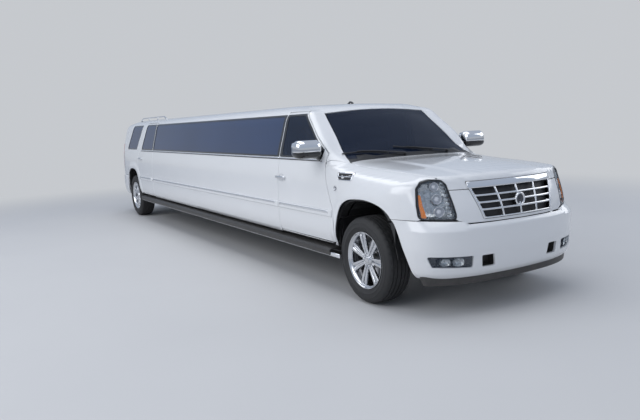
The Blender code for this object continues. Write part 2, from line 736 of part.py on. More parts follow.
WINDOW_REAR = [
    (-1.300, WINDOW_BOTTOM_Z), (-0.600, WINDOW_BOTTOM_Z), (-0.735, WINDOW_TOP_Z), (-1.300, WINDOW_TOP_Z),
]
WINDOW_SIDE = [
    (1.705, WINDOW_BOTTOM_Z), (WHEELBASE - 1.375, WINDOW_BOTTOM_Z),
    (WHEELBASE - 1.375, WINDOW_TOP_Z), (1.680, WINDOW_TOP_Z),
]
WINDOW_QUARTER = [
    (-0.225, WINDOW_BOTTOM_Z), (0.430, WINDOW_BOTTOM_Z), (0.235, WINDOW_TOP_Z), (-0.425, WINDOW_TOP_Z),
]


def placed(outline, place):
    return [(place(along), z) for along, z in outline]


def door_cutter(outline, amount, sign):
    shape = prism("door", grown(outline, amount), 0, 0.55, 1.2)
    floor_guard = box("guard", (0, -FAR, 0), (DOOR_INNER_X - amount, FAR, FLOOR_Z + 0.02 - amount))
    shape = cut(shape, floor_guard)
    return shape if sign > 0 else mirrored(shape, "door_other")


def hinge_strips(outline, zones, low_x, high_x, sign):
    # plates in the shut gap, fused with the body and 0.3 mm off the door
    ring = cut(
        prism("ring", grown(outline, SHUT_GAP / 2 + 0.002), 0, low_x, high_x),
        prism("ring_core", grown(outline, -SHUT_GAP / 2 + SEAT_GAP), 0, low_x - 0.1, high_x + 0.1),
    )
    strips = []
    for start, end, low_z, high_z in zones:
        strip = common(ring, box("zone", (low_x - 0.1, start, low_z), (high_x + 0.1, end, high_z)), "strip")
        strips.append(strip if sign > 0 else mirrored(strip, "strip_other"))
    return strips


fenders = {}
doors = {}
glass = {}
FENDER = [(-1.20, SIDE_SPLIT_Z + PANEL_GAP), (-1.20, 1.50), (0.580, 1.50), (0.580, 1.345), (0.650, 1.290)]
FENDER += [(d, z) for d, z in reversed(DOOR_FRONT[:6])]
FENDER += [(DOOR_FRONT_D, 0.40), (-0.30, 0.40), (-0.30, SIDE_SPLIT_Z + PANEL_GAP)]
for side, sign in (("left", 1), ("right", -1)):
    door_line = placed(DOOR_FRONT, front)
    fender_line = placed(FENDER, front)
    post_guard = box("post_guard", (0, front(FIREWALL_D - 0.010), 0), (FENDER_INNER_X + SEAT_GAP, FAR, 3))
    fender_piece = prism("fender", grown(fender_line, -PANEL_GAP / 2), 0, FENDER_SPLIT_X + SEAT_GAP, 1.2)
    fender_piece = cut(fender_piece, post_guard)
    fender_piece = cut(fender_piece, prism("door_clear", grown(door_line, SHUT_GAP / 2), 0, 0.5, 1.3))
    post_guard = box("post_guard", (0, front(FIREWALL_D - 0.010) + SEAT_GAP, 0), (FENDER_INNER_X, FAR, 3))
    fender_room = cut(prism("fender_room", grown(fender_line, PANEL_GAP / 2), 0, FENDER_SPLIT_X, 1.2), post_guard)
    if sign < 0:
        fender_piece = mirrored(fender_piece, "fender_other")
        fender_room = mirrored(fender_room, "fender_room_other")
    fenders[side] = split(fender_piece, fender_room, f"fender_{side}")
    for key, outline in (("front", door_line), ("rear", placed(DOOR_REAR, rear))):
        doors[f"{key}_{side}"] = split(
            door_cutter(outline, -SHUT_GAP / 2, sign), door_cutter(outline, SHUT_GAP / 2, sign), f"door_{key}_{side}"
        )
    zones = [(front(0.3), front(1.0), 0.560, 0.640), (front(0.3), front(1.0), 1.060, 1.140)]
    for strip in hinge_strips(door_line, zones, 0.910, 0.950, sign):
        shell = join(shell, strip)
    zones = [(rear(-1.5), rear(-1.2), 0.700, 0.780), (rear(-1.5), rear(-1.2), 1.060, 1.140)]
    for strip in hinge_strips(placed(DOOR_REAR, rear), zones, 0.930, 0.970, sign):
        shell = join(shell, strip)
    for key, outline, carrier in (
        ("door_front", placed(WINDOW_FRONT, front), "front"),
        ("door_rear", placed(WINDOW_REAR, rear), "rear"),
        ("side", placed(WINDOW_SIDE, front), None),
        ("quarter", placed(WINDOW_QUARTER, rear), None),
    ):
        line = rounded(outline, WINDOW_CORNER)
        room = prism("window", line, 0, 0.55, 1.2)
        pane = prism("pane", grown(line, -GLASS_GAP), 0, 0.55, 1.2)
        if sign < 0:
            room = mirrored(room, "window_other")
            pane = mirrored(pane, "pane_other")
        glass[f"glass_{key}_{side}"] = common(glass_skin, pane, f"glass_{key}_{side}")
        if carrier:
            doors[f"{carrier}_{side}"] = cut(doors[f"{carrier}_{side}"], room)
        else:
            shell = cut(shell, room)

# Windscreen, plan outline
WINDSCREEN = [
    (0.0, 0.480), (0.45, 0.510), (0.765, 0.600), (0.722, 0.800), (0.665, 1.115), (0.40, 1.095), (0.0, 1.085),
]
plan = [(x, front(d)) for x, d in WINDSCREEN]
plan = plan + [(-x, y) for x, y in reversed(plan[1:-1])]
plan = [(x, y) for x, y in plan if x != 0]
plan = rounded(plan, 0.040)
glass["windscreen"] = common(glass_skin, prism("pane", grown(plan, -GLASS_GAP), 2, 1.2, ABOVE), "windscreen")
shell = cut(shell, prism("windscreen_room", plan, 2, 1.2, ABOVE))

# Liftgate and its window, seen from behind
GATE = [(0.775, 0.820), (0.775, 1.250), (0.730, 1.560), (0.620, 1.780), (0.610, ABOVE)]
GATE += [(-x, z) for x, z in reversed(GATE)]
gate = split(
    prism("gate_shape", grown(GATE, -SHUT_GAP / 2), 1, rear(GATE_HINGE_R) + SHUT_GAP / 2, FAR),
    prism("gate_room", grown(GATE, SHUT_GAP / 2), 1, rear(GATE_HINGE_R) - SHUT_GAP / 2, FAR),
    "liftgate",
)
gate_window = rounded([(-0.665, 1.335), (0.665, 1.335), (0.590, 1.690), (-0.590, 1.690)], WINDOW_CORNER)
gate_pane = prism("pane", grown(gate_window, -GLASS_GAP), 1, rear(0.6), FAR)
glass["glass_liftgate"] = common(glass_skin, gate_pane, "glass_liftgate")
gate = cut(gate, prism("gate_window", gate_window, 1, rear(0.6), FAR))
# under its skin the gate is narrower, so that it swings clear of the tapering opening
gate_inside = body_solid("gate_inside", GATE_SKIN, GATE_SKIN, GATE_SKIN)
gate_core = prism("gate_core", grown(GATE, -SHUT_GAP / 2 - GATE_FLANGE), 1, 0, FAR + 1)
gate = cut(gate, cut(gate_inside, gate_core))

# Hinge plates of both lids: the wall's own curve, fused with the body and 0.3 mm off the lid
hinge_stock = cut(cut(body_solid("hinge_stock", HINGE_INSET, HINGE_INSET, HINGE_INSET), cabin), bay)
for sign in (1, -1):
    for near, far, start, end in (
        (0.40, 0.46, rear(GATE_HINGE_R) - SHUT_GAP / 2 - 0.003, rear(GATE_HINGE_R) + SHUT_GAP / 2 - SEAT_GAP),
        (0.55, 0.62, front(BONNET_HINGE_D) - SHUT_GAP / 2 + SEAT_GAP, front(BONNET_HINGE_D) + SHUT_GAP / 2 + 0.003),
    ):
        low_x, high_x = sorted((near * sign, far * sign))
        plate = common(hinge_stock, box("plate_room", (low_x, start, SIDE_SPLIT_Z), (high_x, end, 3)), "plate")
        shell = join(shell, plate)

# The welded body as pressings: front structure, floor, roof and two sides
POST_LINE = [(-2.0, 0.0), (DOOR_FRONT_D + POST_EDGE, 0.0)]
POST_LINE += [(d + POST_EDGE, z) for d, z in DOOR_FRONT[1:6]] + [(-2.0, DOOR_FRONT[5][1])]


def pressing(rooms, name):
    # rooms as prisms: outline, axis, low and high end
    piece_cutter = None
    room_cutter = None
    for outline, axis, low, high in rooms:
        tight = prism("pressing", outline, axis, low, high)
        wide = prism("pressing_room", grown(outline, SEAT_GAP), axis, low - SEAT_GAP, high + SEAT_GAP)
        piece_cutter = tight if piece_cutter is None else join(piece_cutter, tight)
        room_cutter = wide if room_cutter is None else join(room_cutter, wide)
    return split(piece_cutter, room_cutter, name)


def rectangle(low, high):
    return [(low[0], low[1]), (high[0], low[1]), (high[0], high[1]), (low[0], high[1])]


post_line = placed(POST_LINE, front)
cowl_room = rectangle((front(-2.0), 1.200), (front(COWL_BACK_D), 1.480))
front_structure = pressing(
    [(post_line, 0, -2.0, 2.0), (cowl_room, 0, -COWL_EDGE_X, COWL_EDGE_X)], "front_structure"
)
floor_room = rectangle((front(0.480), 0.300), (FAR, FLOOR_Z + SEAT_GAP))
tail_member = rectangle((rear(TAIL_MEMBER_R), 0.300), (FAR, GATE[0][1] + 0.010))
floor_pan = pressing(
    [(floor_room, 0, -FLOOR_EDGE_X, FLOOR_EDGE_X), (tail_member, 0, -FLOOR_EDGE_X, FLOOR_EDGE_X)], "floor_pan"
)
roof_room = rectangle((front(0.900), 1.600), (rear(GATE_HINGE_R) + SHUT_GAP / 2 + 0.001, 3.0))
roof_panel = pressing([(roof_room, 0, -ROOF_EDGE_X, ROOF_EDGE_X)], "roof_panel")
body_side_left = common(shell, box("left_half", (0, -FAR, 0), (2, FAR, 3)), "body_side_left")
body_side_right = common(shell, box("right_half", (-2, -FAR, 0), (0, FAR, 3)), "body_side_right")

# Door mirrors
mirrors = {}
for side, sign in (("left", 1), ("right", -1)):
    housing = box("housing", (1.025, front(0.690), 1.365), (1.250, front(0.815), 1.500))
    housing = bevelled(housing, 0.030, 2)
    arm = box("arm", (0.880, front(0.740), 1.372), (1.060, front(0.800), 1.412))
    housing = cut(join(housing, arm), outer_grown)
    mirrors[side] = housing if sign > 0 else mirrored(housing, "mirror_other")

# Chassis: rails, cross-members and upper arms
frame = box(
    "rail", (RAIL_OUTER_X - RAIL_WIDTH, front(-RAIL_FRONT) + SEAT_GAP, RAIL_TOP_Z - RAIL_HEIGHT),
    (RAIL_OUTER_X, rear(RAIL_REAR) - SEAT_GAP, RAIL_TOP_Z),
)
frame = join(frame, mirrored(frame, "rail_other"))
members = [front(-0.780)]
first, last = front(ENGINE_MEMBER_D), rear(-0.500)
members += [first + (last - first) * step / (MIDDLE_MEMBERS - 1) for step in range(MIDDLE_MEMBERS)]
members += [rear(0.360), rear(0.980)]
for place in members:
    half = RAIL_OUTER_X - RAIL_WIDTH / 2
    frame = join(frame, box("member", (-half, place - CROSS_WIDTH / 2, MEMBER_TOP_Z - CROSS_HEIGHT),
                            (half, place + CROSS_WIDTH / 2, MEMBER_TOP_Z)))
for sign in (1, -1):
    for place in (front(JACK_D), rear(JACK_R)):
        middle = sign * (RAIL_OUTER_X - RAIL_WIDTH / 2)
        pad_top = RAIL_TOP_Z - RAIL_HEIGHT
        frame = join(frame, box(
            "jack_pad", (middle - JACK_PAD[0] / 2, place - JACK_PAD[1] / 2, pad_top - JACK_PAD[2]),
            (middle + JACK_PAD[0] / 2, place + JACK_PAD[1] / 2, pad_top + 0.005),
        ))
UPPER_ARM = [(RAIL_OUTER_X - 0.01, -UPPER_ARM_HALF), (KINGPIN_X - 0.05, -0.030), (KINGPIN_X + 0.022, -0.018),
             (KINGPIN_X + 0.022, 0.018), (KINGPIN_X - 0.05, 0.030), (RAIL_OUTER_X - 0.01, UPPER_ARM_HALF)]
arm = prism("upper_arm", placed_plan(UPPER_ARM), 2, UPPER_JOINT_Z, UPPER_JOINT_Z + ARM_THICKNESS)
frame = join(join(frame, arm), mirrored(arm, "upper_arm_other"))
LOWER_ARM = [(0.30, -0.180), (0.40, -0.180), (KINGPIN_X - 0.08, -0.035), (KINGPIN_X + 0.025, -0.022),
             (KINGPIN_X + 0.025, 0.022), (KINGPIN_X - 0.08, 0.035), (0.40, 0.180), (0.30, 0.180)]
rail_low = RAIL_TOP_Z - RAIL_HEIGHT - SEAT_GAP
beam = prism("beam", [(-0.47, rail_low), (-0.47, rail_low - 0.06), (-0.40, LOWER_JOINT_Z - ARM_THICKNESS),
                      (0.40, LOWER_JOINT_Z - ARM_THICKNESS), (0.47, rail_low - 0.06), (0.47, rail_low)],
             1, front(-0.090), front(0.090))
arm = prism("lower_arm", placed_plan(LOWER_ARM), 2, LOWER_JOINT_Z - ARM_THICKNESS, LOWER_JOINT_Z)
suspension = join(join(beam, arm), mirrored(arm, "lower_arm_other"))

# Engine and gearbox, one heavy block
engine = box("engine", (-0.300, front(-0.420), MEMBER_TOP_Z + SEAT_GAP), (0.300, front(0.300), 1.080))
engine = bevelled(engine, 0.030, 1)
engine = join(engine, box("bell", (-0.190, front(0.235), 0.430), (0.190, front(0.330), 0.700)))
gearbox_low = (-GEARBOX_HALF, front(0.320), GEARBOX_LOW_Z)
engine = join(engine, box("gearbox", gearbox_low, (GEARBOX_HALF, front(GEARBOX_END), MEMBER_TOP_Z)))
radiator = box("radiator", (-0.380, front(-0.800), MEMBER_TOP_Z + SEAT_GAP), (0.380, front(-0.755), 1.020))

# Rear axle with its differential, pads and propeller shaft
axle = cylinder("axle", (0, rear(0), AXLE_Z), 0.045, 2 * 0.79, 0, 20)
work = bmesh.new()
bmesh.ops.create_uvsphere(work, u_segments=12, v_segments=8, radius=0.140)
bmesh.ops.transform(work, matrix=Matrix.Translation((0, rear(0), AXLE_Z)), verts=work.verts)
mesh = bpy.data.meshes.new("differential")
work.to_mesh(mesh)
work.free()
axle = join(axle, add_object("differential", mesh))
shaft_start = front(GEARBOX_END) + SEAT_GAP
shaft_end = rear(-0.05)
axle = join(axle, cylinder("shaft", (0, (shaft_start + shaft_end) / 2, 0.440), 0.032, shaft_end - shaft_start, 1, 16))
for sign in (1, -1):
    start, end = sorted((0.415 * sign, 0.470 * sign))
    axle = join(axle, box("pad", (start, rear(-0.06), AXLE_Z), (end, rear(0.06), rail_low)))
    spindle_middle = (sign * (AXLE_END_X + HUB_END_REAR) / 2, rear(0), AXLE_Z)
    spindle_length = HUB_END_REAR - AXLE_END_X
    axle = join(axle, cylinder("spindle", spindle_middle, SPINDLE_RADIUS, spindle_length, 0, SPINDLE_STEPS))

tank = bevelled(box("tank", (RAIL_OUTER_X + SEAT_GAP, front(3.2), 0.400), (0.780, front(4.5), 0.585)), 0.030, 2)


def tube(name, points, radius, resolution=3):
    curve = bpy.data.curves.new(name, "CURVE")
    curve.dimensions = "3D"
    curve.bevel_depth = radius
    curve.bevel_resolution = resolution
    curve.use_fill_caps = True
    line = curve.splines.new("POLY")
    line.points.add(len(points) - 1)
    for point, place in zip(line.points, points):
        point.co = (*place, 1.0)
    obj = bpy.data.objects.new(name, curve)
    CUTTERS.objects.link(obj)
    mesh = baked(obj)
    bpy.data.objects.remove(obj, do_unlink=True)
    work = bmesh.new()
    work.from_mesh(mesh)
    bmesh.ops.remove_doubles(work, verts=work.verts, dist=1e-5)
    bmesh.ops.recalc_face_normals(work, faces=work.faces)
    work.to_mesh(mesh)
    work.free()
    return add_object(name, mesh)


# Exhaust along the right rail, over the axle
EXHAUST = [
    # x, distance behind the rear axle, height
    (-0.300, -0.330, 0.455), (-0.300, -0.220, 0.510), (-0.300, -0.080, 0.535), (-0.300, 0.080, 0.535),
    (-0.300, 0.220, 0.500), (-0.300, 0.300, 0.455), (-0.320, 0.960, 0.440),
]
exhaust_start = -(GEARBOX_HALF + SEAT_GAP + EXHAUST_RADIUS * math.cos(math.radians(EXHAUST_TURN)))
exhaust_path = [(exhaust_start, front(0.900), 0.455), (-0.300, front(1.250), 0.455)]
exhaust_path += [(x, rear(r), z) for x, r, z in EXHAUST]
exhaust = tube("exhaust", exhaust_path, EXHAUST_RADIUS)
exhaust = join(exhaust, cylinder("muffler", (-0.300, rear(-1.9), 0.405), 0.085, 0.600, 1, 16))

# Running boards under the sills
boards = {}
BOARD = [
    (0.815, SILL_Z - SEAT_GAP), (0.815, 0.400), (0.900, 0.365), (1.020, 0.365), (1.040, 0.385), (1.040, 0.425),
    (1.020, 0.445), (0.880, 0.445), (0.880, SILL_Z - SEAT_GAP),
]
board = prism("board", BOARD, 1, front(0.520), rear(-0.600))
boards["left"] = board
boards["right"] = mirrored(board, "board_other")

# Roof rails over the rear
rails = {}
ROOF_RAIL = [
    (0.655, -1.38, 1.850), (0.660, -1.28, 1.906), (0.660, -0.45, 1.914), (0.658, 0.20, 1.900), (0.655, 0.38, 1.845),
]
rail = tube("roof_rail", [(x, rear(r), z) for x, r, z in ROOF_RAIL], 0.015)
rail = cut(rail, outer_grown)
rails["left"] = rail
rails["right"] = mirrored(rail, "rail_other")

# Inside
DASHBOARD = [
    (FIREWALL_D + FIREWALL_THICKNESS + SEAT_GAP, 0.800), (FIREWALL_D + FIREWALL_THICKNESS + SEAT_GAP, 1.190),
    (0.620, 1.225), (0.800, 1.215), (0.840, 1.120), (0.760, 0.900), (0.620, 0.800),
]
dashboard = prism("dashboard", placed(DASHBOARD, front), 0, -0.840, 0.840)
WHEEL_AT = Vector((-0.400, front(0.960), 1.130))
turn = Matrix.Translation(WHEEL_AT) @ Matrix.Rotation(math.radians(-STEERING_TILT), 4, "X")
bpy.ops.mesh.primitive_torus_add(
    major_segments=20, minor_segments=6, major_radius=STEERING_RADIUS, minor_radius=0.014
)
ring = bpy.context.object
steering = add_object("steering", ring.data.copy())
bpy.data.objects.remove(ring, do_unlink=True)
steering.data.transform(turn)
bar = box("bar", (-STEERING_RADIUS, -0.022, -0.010), (STEERING_RADIUS, 0.022, 0.010))
bar.data.transform(turn)
hub = cylinder("hub", (0, 0, 0), 0.060, 0.050, 2, 16)
hub.data.transform(turn)
column = cylinder("column", (0, 0, -STEERING_COLUMN / 2), 0.028, STEERING_COLUMN, 2, 12)
column.data.transform(turn)
dash_grown = prism("dash_grown", grown(placed(DASHBOARD, front), SEAT_GAP), 0, -0.9, 0.9)
steering = cut(join(join(join(steering, bar), hub), column), dash_grown)

SEAT = [
    (1.180, FLOOR_Z + SEAT_GAP), (1.180, 0.960), (1.230, 1.000), (1.600, 0.950), (1.700, 1.450),
    (1.715, 1.580), (1.800, 1.580), (1.830, 1.400), (1.790, 0.900), (1.760, FLOOR_Z + SEAT_GAP),
]
seats = {}
for side, sign in (("left", 1), ("right", -1)):
    low_x, high_x = sorted((0.130 * sign, 0.670 * sign))
    seats[side] = bevelled(prism("seat", placed(SEAT, front), 0, low_x, high_x), 0.025, 1, 30)
cabin_lining = body_solid("cabin_lining", SIDE_WALL + SEAT_GAP, SKIN_WALL + SEAT_GAP, END_WALL)
slab = box("slab", (-2, front(PARTITION_D), FLOOR_Z + SEAT_GAP), (2, front(PARTITION_D + PARTITION_THICKNESS), 3))
partition = common(cabin_lining, slab, "partition")
partition = cut(partition, box("hatch", (-0.500, front(1.9), 1.300), (0.500, front(2.2), 1.620)))
lounge = None
for depth, side_depth, low_z, high_z in (
    # a bench along the left wall that turns across the rear: seat, then back
    (LOUNGE_SEAT_DEPTH, LOUNGE_SIDE_DEPTH, FLOOR_Z + SEAT_GAP, LOUNGE_SEAT_Z),
    (LOUNGE_BACK_DEPTH, LOUNGE_BACK_DEPTH, 0.900, LOUNGE_BACK_Z),
):
    outline = [
        (LOUNGE_X, front(LOUNGE_D)), (LOUNGE_X, rear(LOUNGE_R)), (-LOUNGE_X, rear(LOUNGE_R)),
        (-LOUNGE_X, rear(LOUNGE_R - depth)), (LOUNGE_X - side_depth, rear(LOUNGE_R - depth)),
        (LOUNGE_X - side_depth, front(LOUNGE_D)),
    ]
    bench = prism("bench", outline, 2, low_z, high_z)
    lounge = bench if lounge is None else join(lounge, bench)

# Front knuckles, wheels and tyres


def knuckle_at(sign):
    post_low = (KINGPIN_X - UPRIGHT_HALF, front(-0.035), LOWER_JOINT_Z + SEAT_GAP)
    post_high = (KINGPIN_X + UPRIGHT_HALF, front(0.035), UPPER_JOINT_Z - SEAT_GAP)
    post = box("post", post_low, post_high)
    flange = cylinder("flange", (KINGPIN_X + 0.020, front(0), AXLE_Z), 0.072, 0.040, 0, 20)
    middle = ((KINGPIN_X + HUB_END_FRONT) / 2, front(0), AXLE_Z)
    spindle = cylinder("spindle", middle, SPINDLE_RADIUS, HUB_END_FRONT - KINGPIN_X, 0, SPINDLE_STEPS)
    piece = join(join(post, flange), spindle)
    return piece if sign > 0 else mirrored(piece, "knuckle_other")


def turned(name, profile, steps=WHEEL_STEPS):
    # closed profile as (radius, height) revolved about Z
    mesh = bpy.data.meshes.new(name)
    verts = [(radius, 0.0, height) for radius, height in profile]
    mesh.from_pydata(verts, [(i, (i + 1) % len(verts)) for i in range(len(verts))], [])
    obj = add_object(name, mesh)
    step = obj.modifiers.new("turn", "SCREW")
    step.axis = "Z"
    step.steps = steps
    step.render_steps = steps
    step.use_merge_vertices = True
    step.merge_threshold = 0.0001
    obj.data = baked(obj)
    obj.modifiers.clear()
    return obj


def wheel_rim():
    # outer face towards +Z
    half = RIM_HALF_WIDTH
    rim = turned("rim", [
        (RIM_LIP, half), (RIM_LIP, half - 0.010), (RIM_RADIUS, half - 0.012), (RIM_RADIUS, -half + 0.012),
        (RIM_LIP, -half + 0.010), (RIM_LIP, -half), (RIM_RADIUS - RIM_WALL, -half),
        (RIM_RADIUS - RIM_WALL, half - 0.016),
    ])
    hub = cylinder("hub", (0, 0, (HUB_FACE + DISC_LOW) / 2), HUB_RADIUS, HUB_FACE - DISC_LOW, 2, 14)
    disc = cylinder("disc", (0, 0, DISC_LOW + DISC_THICKNESS / 2), DISC_RADIUS, DISC_THICKNESS, 2, 20)
    rim = join(join(rim, hub), disc)
    reach = RIM_RADIUS - RIM_WALL + 0.006
    for index in range(SPOKE_COUNT):
        rings = []
        for x, width, low, high in (
            (0.045, SPOKE_WIDTH * 0.30, HUB_FACE - SPOKE_DEPTH - 0.006, HUB_FACE - 0.004),
            (reach, SPOKE_WIDTH * 0.56, half - 0.020 - SPOKE_DEPTH, half - 0.018),
        ):
            rings.append([(x, -width, low), (x, width, low), (x, width, high), (x, -width, high)])
        spoke = loft("spoke", rings)
        spoke.data.transform(Matrix.Rotation(math.tau * index / SPOKE_COUNT, 4, "Z"))
        rim = join(rim, spoke)
    # the bore's flats clear the corners of the spindle as the wheel turns
    bore_radius = (SPINDLE_RADIUS + SPINDLE_GAP) / math.cos(math.pi / SPINDLE_STEPS)
    bore = cylinder("bore", (0, 0, HUB_FACE - 0.030 - 0.2), bore_radius, 0.4, 2, SPINDLE_STEPS)
    return cut(rim, bore)


def wheel_tyre():
    half = TYRE_WIDTH / 2
    bead = RIM_RADIUS + SEAT_GAP
    seat = RIM_HALF_WIDTH - 0.012 - SEAT_GAP * 3
    profile = [
        (TYRE_RADIUS, half * 0.60), (TYRE_RADIUS - 0.018, half * 0.90), (TYRE_RADIUS - 0.060, half),
        (RIM_LIP + 0.006, seat), (bead, seat),
    ]
    profile += [(radius, -height) for radius, height in reversed(profile)]
    return turned("tyre", profile)


def stood(obj, place, sign):
    # turns a wheel's outer face from +Z to the side that it stands on
    copy = add_object("wheel_piece", obj.data.copy())
    copy.data.transform(Matrix.Translation(place) @ Matrix.Rotation(sign * math.pi / 2, 4, "Y"))
    return copy


# Publish everything, each moving piece with its origin on its joint's axis
publish(frame, "chassis_frame", "chassis_steel")
publish(suspension, "front_suspension", "chassis_steel")
publish(engine, "engine_block", "grey_metal")
publish(radiator, "radiator", "black_plastic")
publish(axle, "rear_axle", "chassis_steel")
publish(tank, "fuel_tank", "black_plastic")
publish(exhaust, "exhaust", "grey_metal")
publish(front_structure, "front_structure", "white_paint")
publish(floor_pan, "floor_pan", "white_paint")
publish(roof_panel, "roof_panel", "white_paint")
publish(body_side_left, "body_side_left", "white_paint")
publish(body_side_right, "body_side_right", "white_paint")
publish(front_bumper, "front_bumper", "white_paint")
publish(rear_bumper, "rear_bumper", "white_paint")
publish(grille, "grille", "chrome")
publish(dashboard, "dashboard", "black_plastic")
publish(steering, "steering_wheel", "black_leather")
publish(partition, "partition", "black_plastic")
publish(lounge, "lounge_seat", "black_leather")
for side in ("left", "right"):
    publish(fenders[side], f"fender_{side}", "white_paint")
    publish(lamps[f"headlamp_{side}"], f"headlamp_{side}", "lamp_lens")
    publish(lamps[f"tail_lamp_{side}"], f"tail_lamp_{side}", "red_lens")
    publish(boards[side], f"running_board_{side}", "black_plastic")
    publish(rails[side], f"roof_rail_{side}", "chrome")
    publish(seats[side], f"seat_front_{side}", "black_leather")
    publish(glass[f"glass_side_{side}"], f"glass_side_{side}", "dark_glass")
    publish(glass[f"glass_quarter_{side}"], f"glass_quarter_{side}", "dark_glass")
publish(glass["windscreen"], "windscreen", "dark_glass")

bonnet_pivot = (0, front(BONNET_HINGE_D), BONNET_HINGE_Z)
publish(bonnet, "bonnet", "white_paint", bonnet_pivot)
gate_pivot = Vector((0, rear(GATE_HINGE_R), GATE_HINGE_Z))
gate_object = publish(gate, "liftgate", "white_paint", gate_pivot)
publish(glass["glass_liftgate"], "glass_liftgate", "dark_glass", gate_pivot, gate_object)
for side, sign in (("left", 1), ("right", -1)):
    hinge = Vector((sign * DOOR_HINGE_X, front(DOOR_FRONT[0][0]) - SHUT_GAP / 2, 0.8))
    door = publish(doors[f"front_{side}"], f"door_front_{side}", "white_paint", hinge)
    publish(glass[f"glass_door_front_{side}"], f"glass_door_front_{side}", "dark_glass", hinge, door)
    publish(mirrors[side], f"mirror_{side}", "chrome", hinge, door)
    hinge = Vector((sign * DOOR_HINGE_X, rear(DOOR_REAR[0][0]) - SHUT_GAP / 2, 0.8))
    door = publish(doors[f"rear_{side}"], f"door_rear_{side}", "white_paint", hinge)
    publish(glass[f"glass_door_rear_{side}"], f"glass_door_rear_{side}", "dark_glass", hinge, door)

rim_shape = wheel_rim()
tyre_shape = wheel_tyre()
for side, sign in (("left", 1), ("right", -1)):
    kingpin = Vector((sign * KINGPIN_X, front(0), AXLE_Z))
    knuckle = publish(knuckle_at(sign), f"knuckle_{side}", "chassis_steel", kingpin)
    centre = Vector((sign * FRONT_WHEEL_X, front(0), AXLE_Z))
    publish(stood(rim_shape, centre, sign), f"rim_front_{side}", "chrome", centre, knuckle)
    publish(stood(tyre_shape, centre, sign), f"tyre_front_{side}", "black_rubber", centre, knuckle)
    centre = Vector((sign * REAR_WHEEL_X, rear(0), AXLE_Z))
    publish(stood(rim_shape, centre, sign), f"rim_rear_{side}", "chrome", centre)
    publish(stood(tyre_shape, centre, sign), f"tyre_rear_{side}", "black_rubber", centre)

for used in list(CUTTERS.objects):
    bpy.data.objects.remove(used, do_unlink=True)
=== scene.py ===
# Stretch limousine: the visual model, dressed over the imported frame.
# Metres, +Z up, the vehicle faces -Y, its left side is +X.
import json
import math

import bmesh
import bpy
import numpy as np
from mathutils import Matrix, Vector
from mathutils.geometry import delaunay_2d_cdt

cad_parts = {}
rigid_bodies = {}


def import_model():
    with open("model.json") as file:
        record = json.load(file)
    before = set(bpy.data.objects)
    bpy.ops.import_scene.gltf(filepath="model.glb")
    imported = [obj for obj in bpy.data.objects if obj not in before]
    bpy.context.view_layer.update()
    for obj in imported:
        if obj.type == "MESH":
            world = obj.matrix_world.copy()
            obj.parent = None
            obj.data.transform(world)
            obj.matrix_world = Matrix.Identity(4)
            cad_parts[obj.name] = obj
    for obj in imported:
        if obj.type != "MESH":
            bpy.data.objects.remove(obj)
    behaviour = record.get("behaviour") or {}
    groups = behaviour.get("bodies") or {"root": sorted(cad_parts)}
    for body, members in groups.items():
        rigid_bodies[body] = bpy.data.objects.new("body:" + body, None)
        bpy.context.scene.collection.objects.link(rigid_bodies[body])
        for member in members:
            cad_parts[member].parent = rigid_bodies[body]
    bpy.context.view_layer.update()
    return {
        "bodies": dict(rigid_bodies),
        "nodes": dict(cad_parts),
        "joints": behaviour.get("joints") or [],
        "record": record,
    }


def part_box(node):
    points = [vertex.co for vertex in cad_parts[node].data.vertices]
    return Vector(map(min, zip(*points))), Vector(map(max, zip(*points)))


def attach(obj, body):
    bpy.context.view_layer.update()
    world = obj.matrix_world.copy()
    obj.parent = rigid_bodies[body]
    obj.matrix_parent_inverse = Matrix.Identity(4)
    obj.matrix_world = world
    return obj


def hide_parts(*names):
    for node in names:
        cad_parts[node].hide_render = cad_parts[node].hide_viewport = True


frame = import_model()
NODES = frame["nodes"]

FRONT = -4.1015
REAR = 3.9245
SILL = 0.470
SPLIT = 0.800
SHUT = 0.0055
CENTRE_Z = 0.80


def front(d):
    return FRONT + d


def rear(r):
    return REAR + r


# Smooth curves through a few points
def smooth(xs, ys):
    # monotone cubic through the points, straight beyond them
    xs = np.asarray(xs, float)
    ys = np.asarray(ys, float)
    step = np.diff(xs)
    slope = np.diff(ys) / step
    tangent = np.zeros(len(xs))
    tangent[0], tangent[-1] = slope[0], slope[-1]
    for i in range(1, len(xs) - 1):
        if slope[i - 1] * slope[i] > 0:
            first, second = 2 * step[i] + step[i - 1], step[i] + 2 * step[i - 1]
            tangent[i] = (first + second) / (first / slope[i - 1] + second / slope[i])

    def at(x):
        x = np.asarray(x, float)
        i = np.clip(np.searchsorted(xs, x) - 1, 0, len(xs) - 2)
        t = (x - xs[i]) / step[i]
        inside = np.clip(t, 0, 1)
        h00 = 2 * inside**3 - 3 * inside**2 + 1
        h10 = inside**3 - 2 * inside**2 + inside
        h01 = 1 - h00
        h11 = inside**3 - inside**2
        value = h00 * ys[i] + h10 * step[i] * tangent[i] + h01 * ys[i + 1] + h11 * step[i] * tangent[i + 1]
        return value + np.where(t < 0, t * step[i] * tangent[0], 0) + np.where(t > 1,
                (t - 1) * step[i] * tangent[-1], 0)

    return at


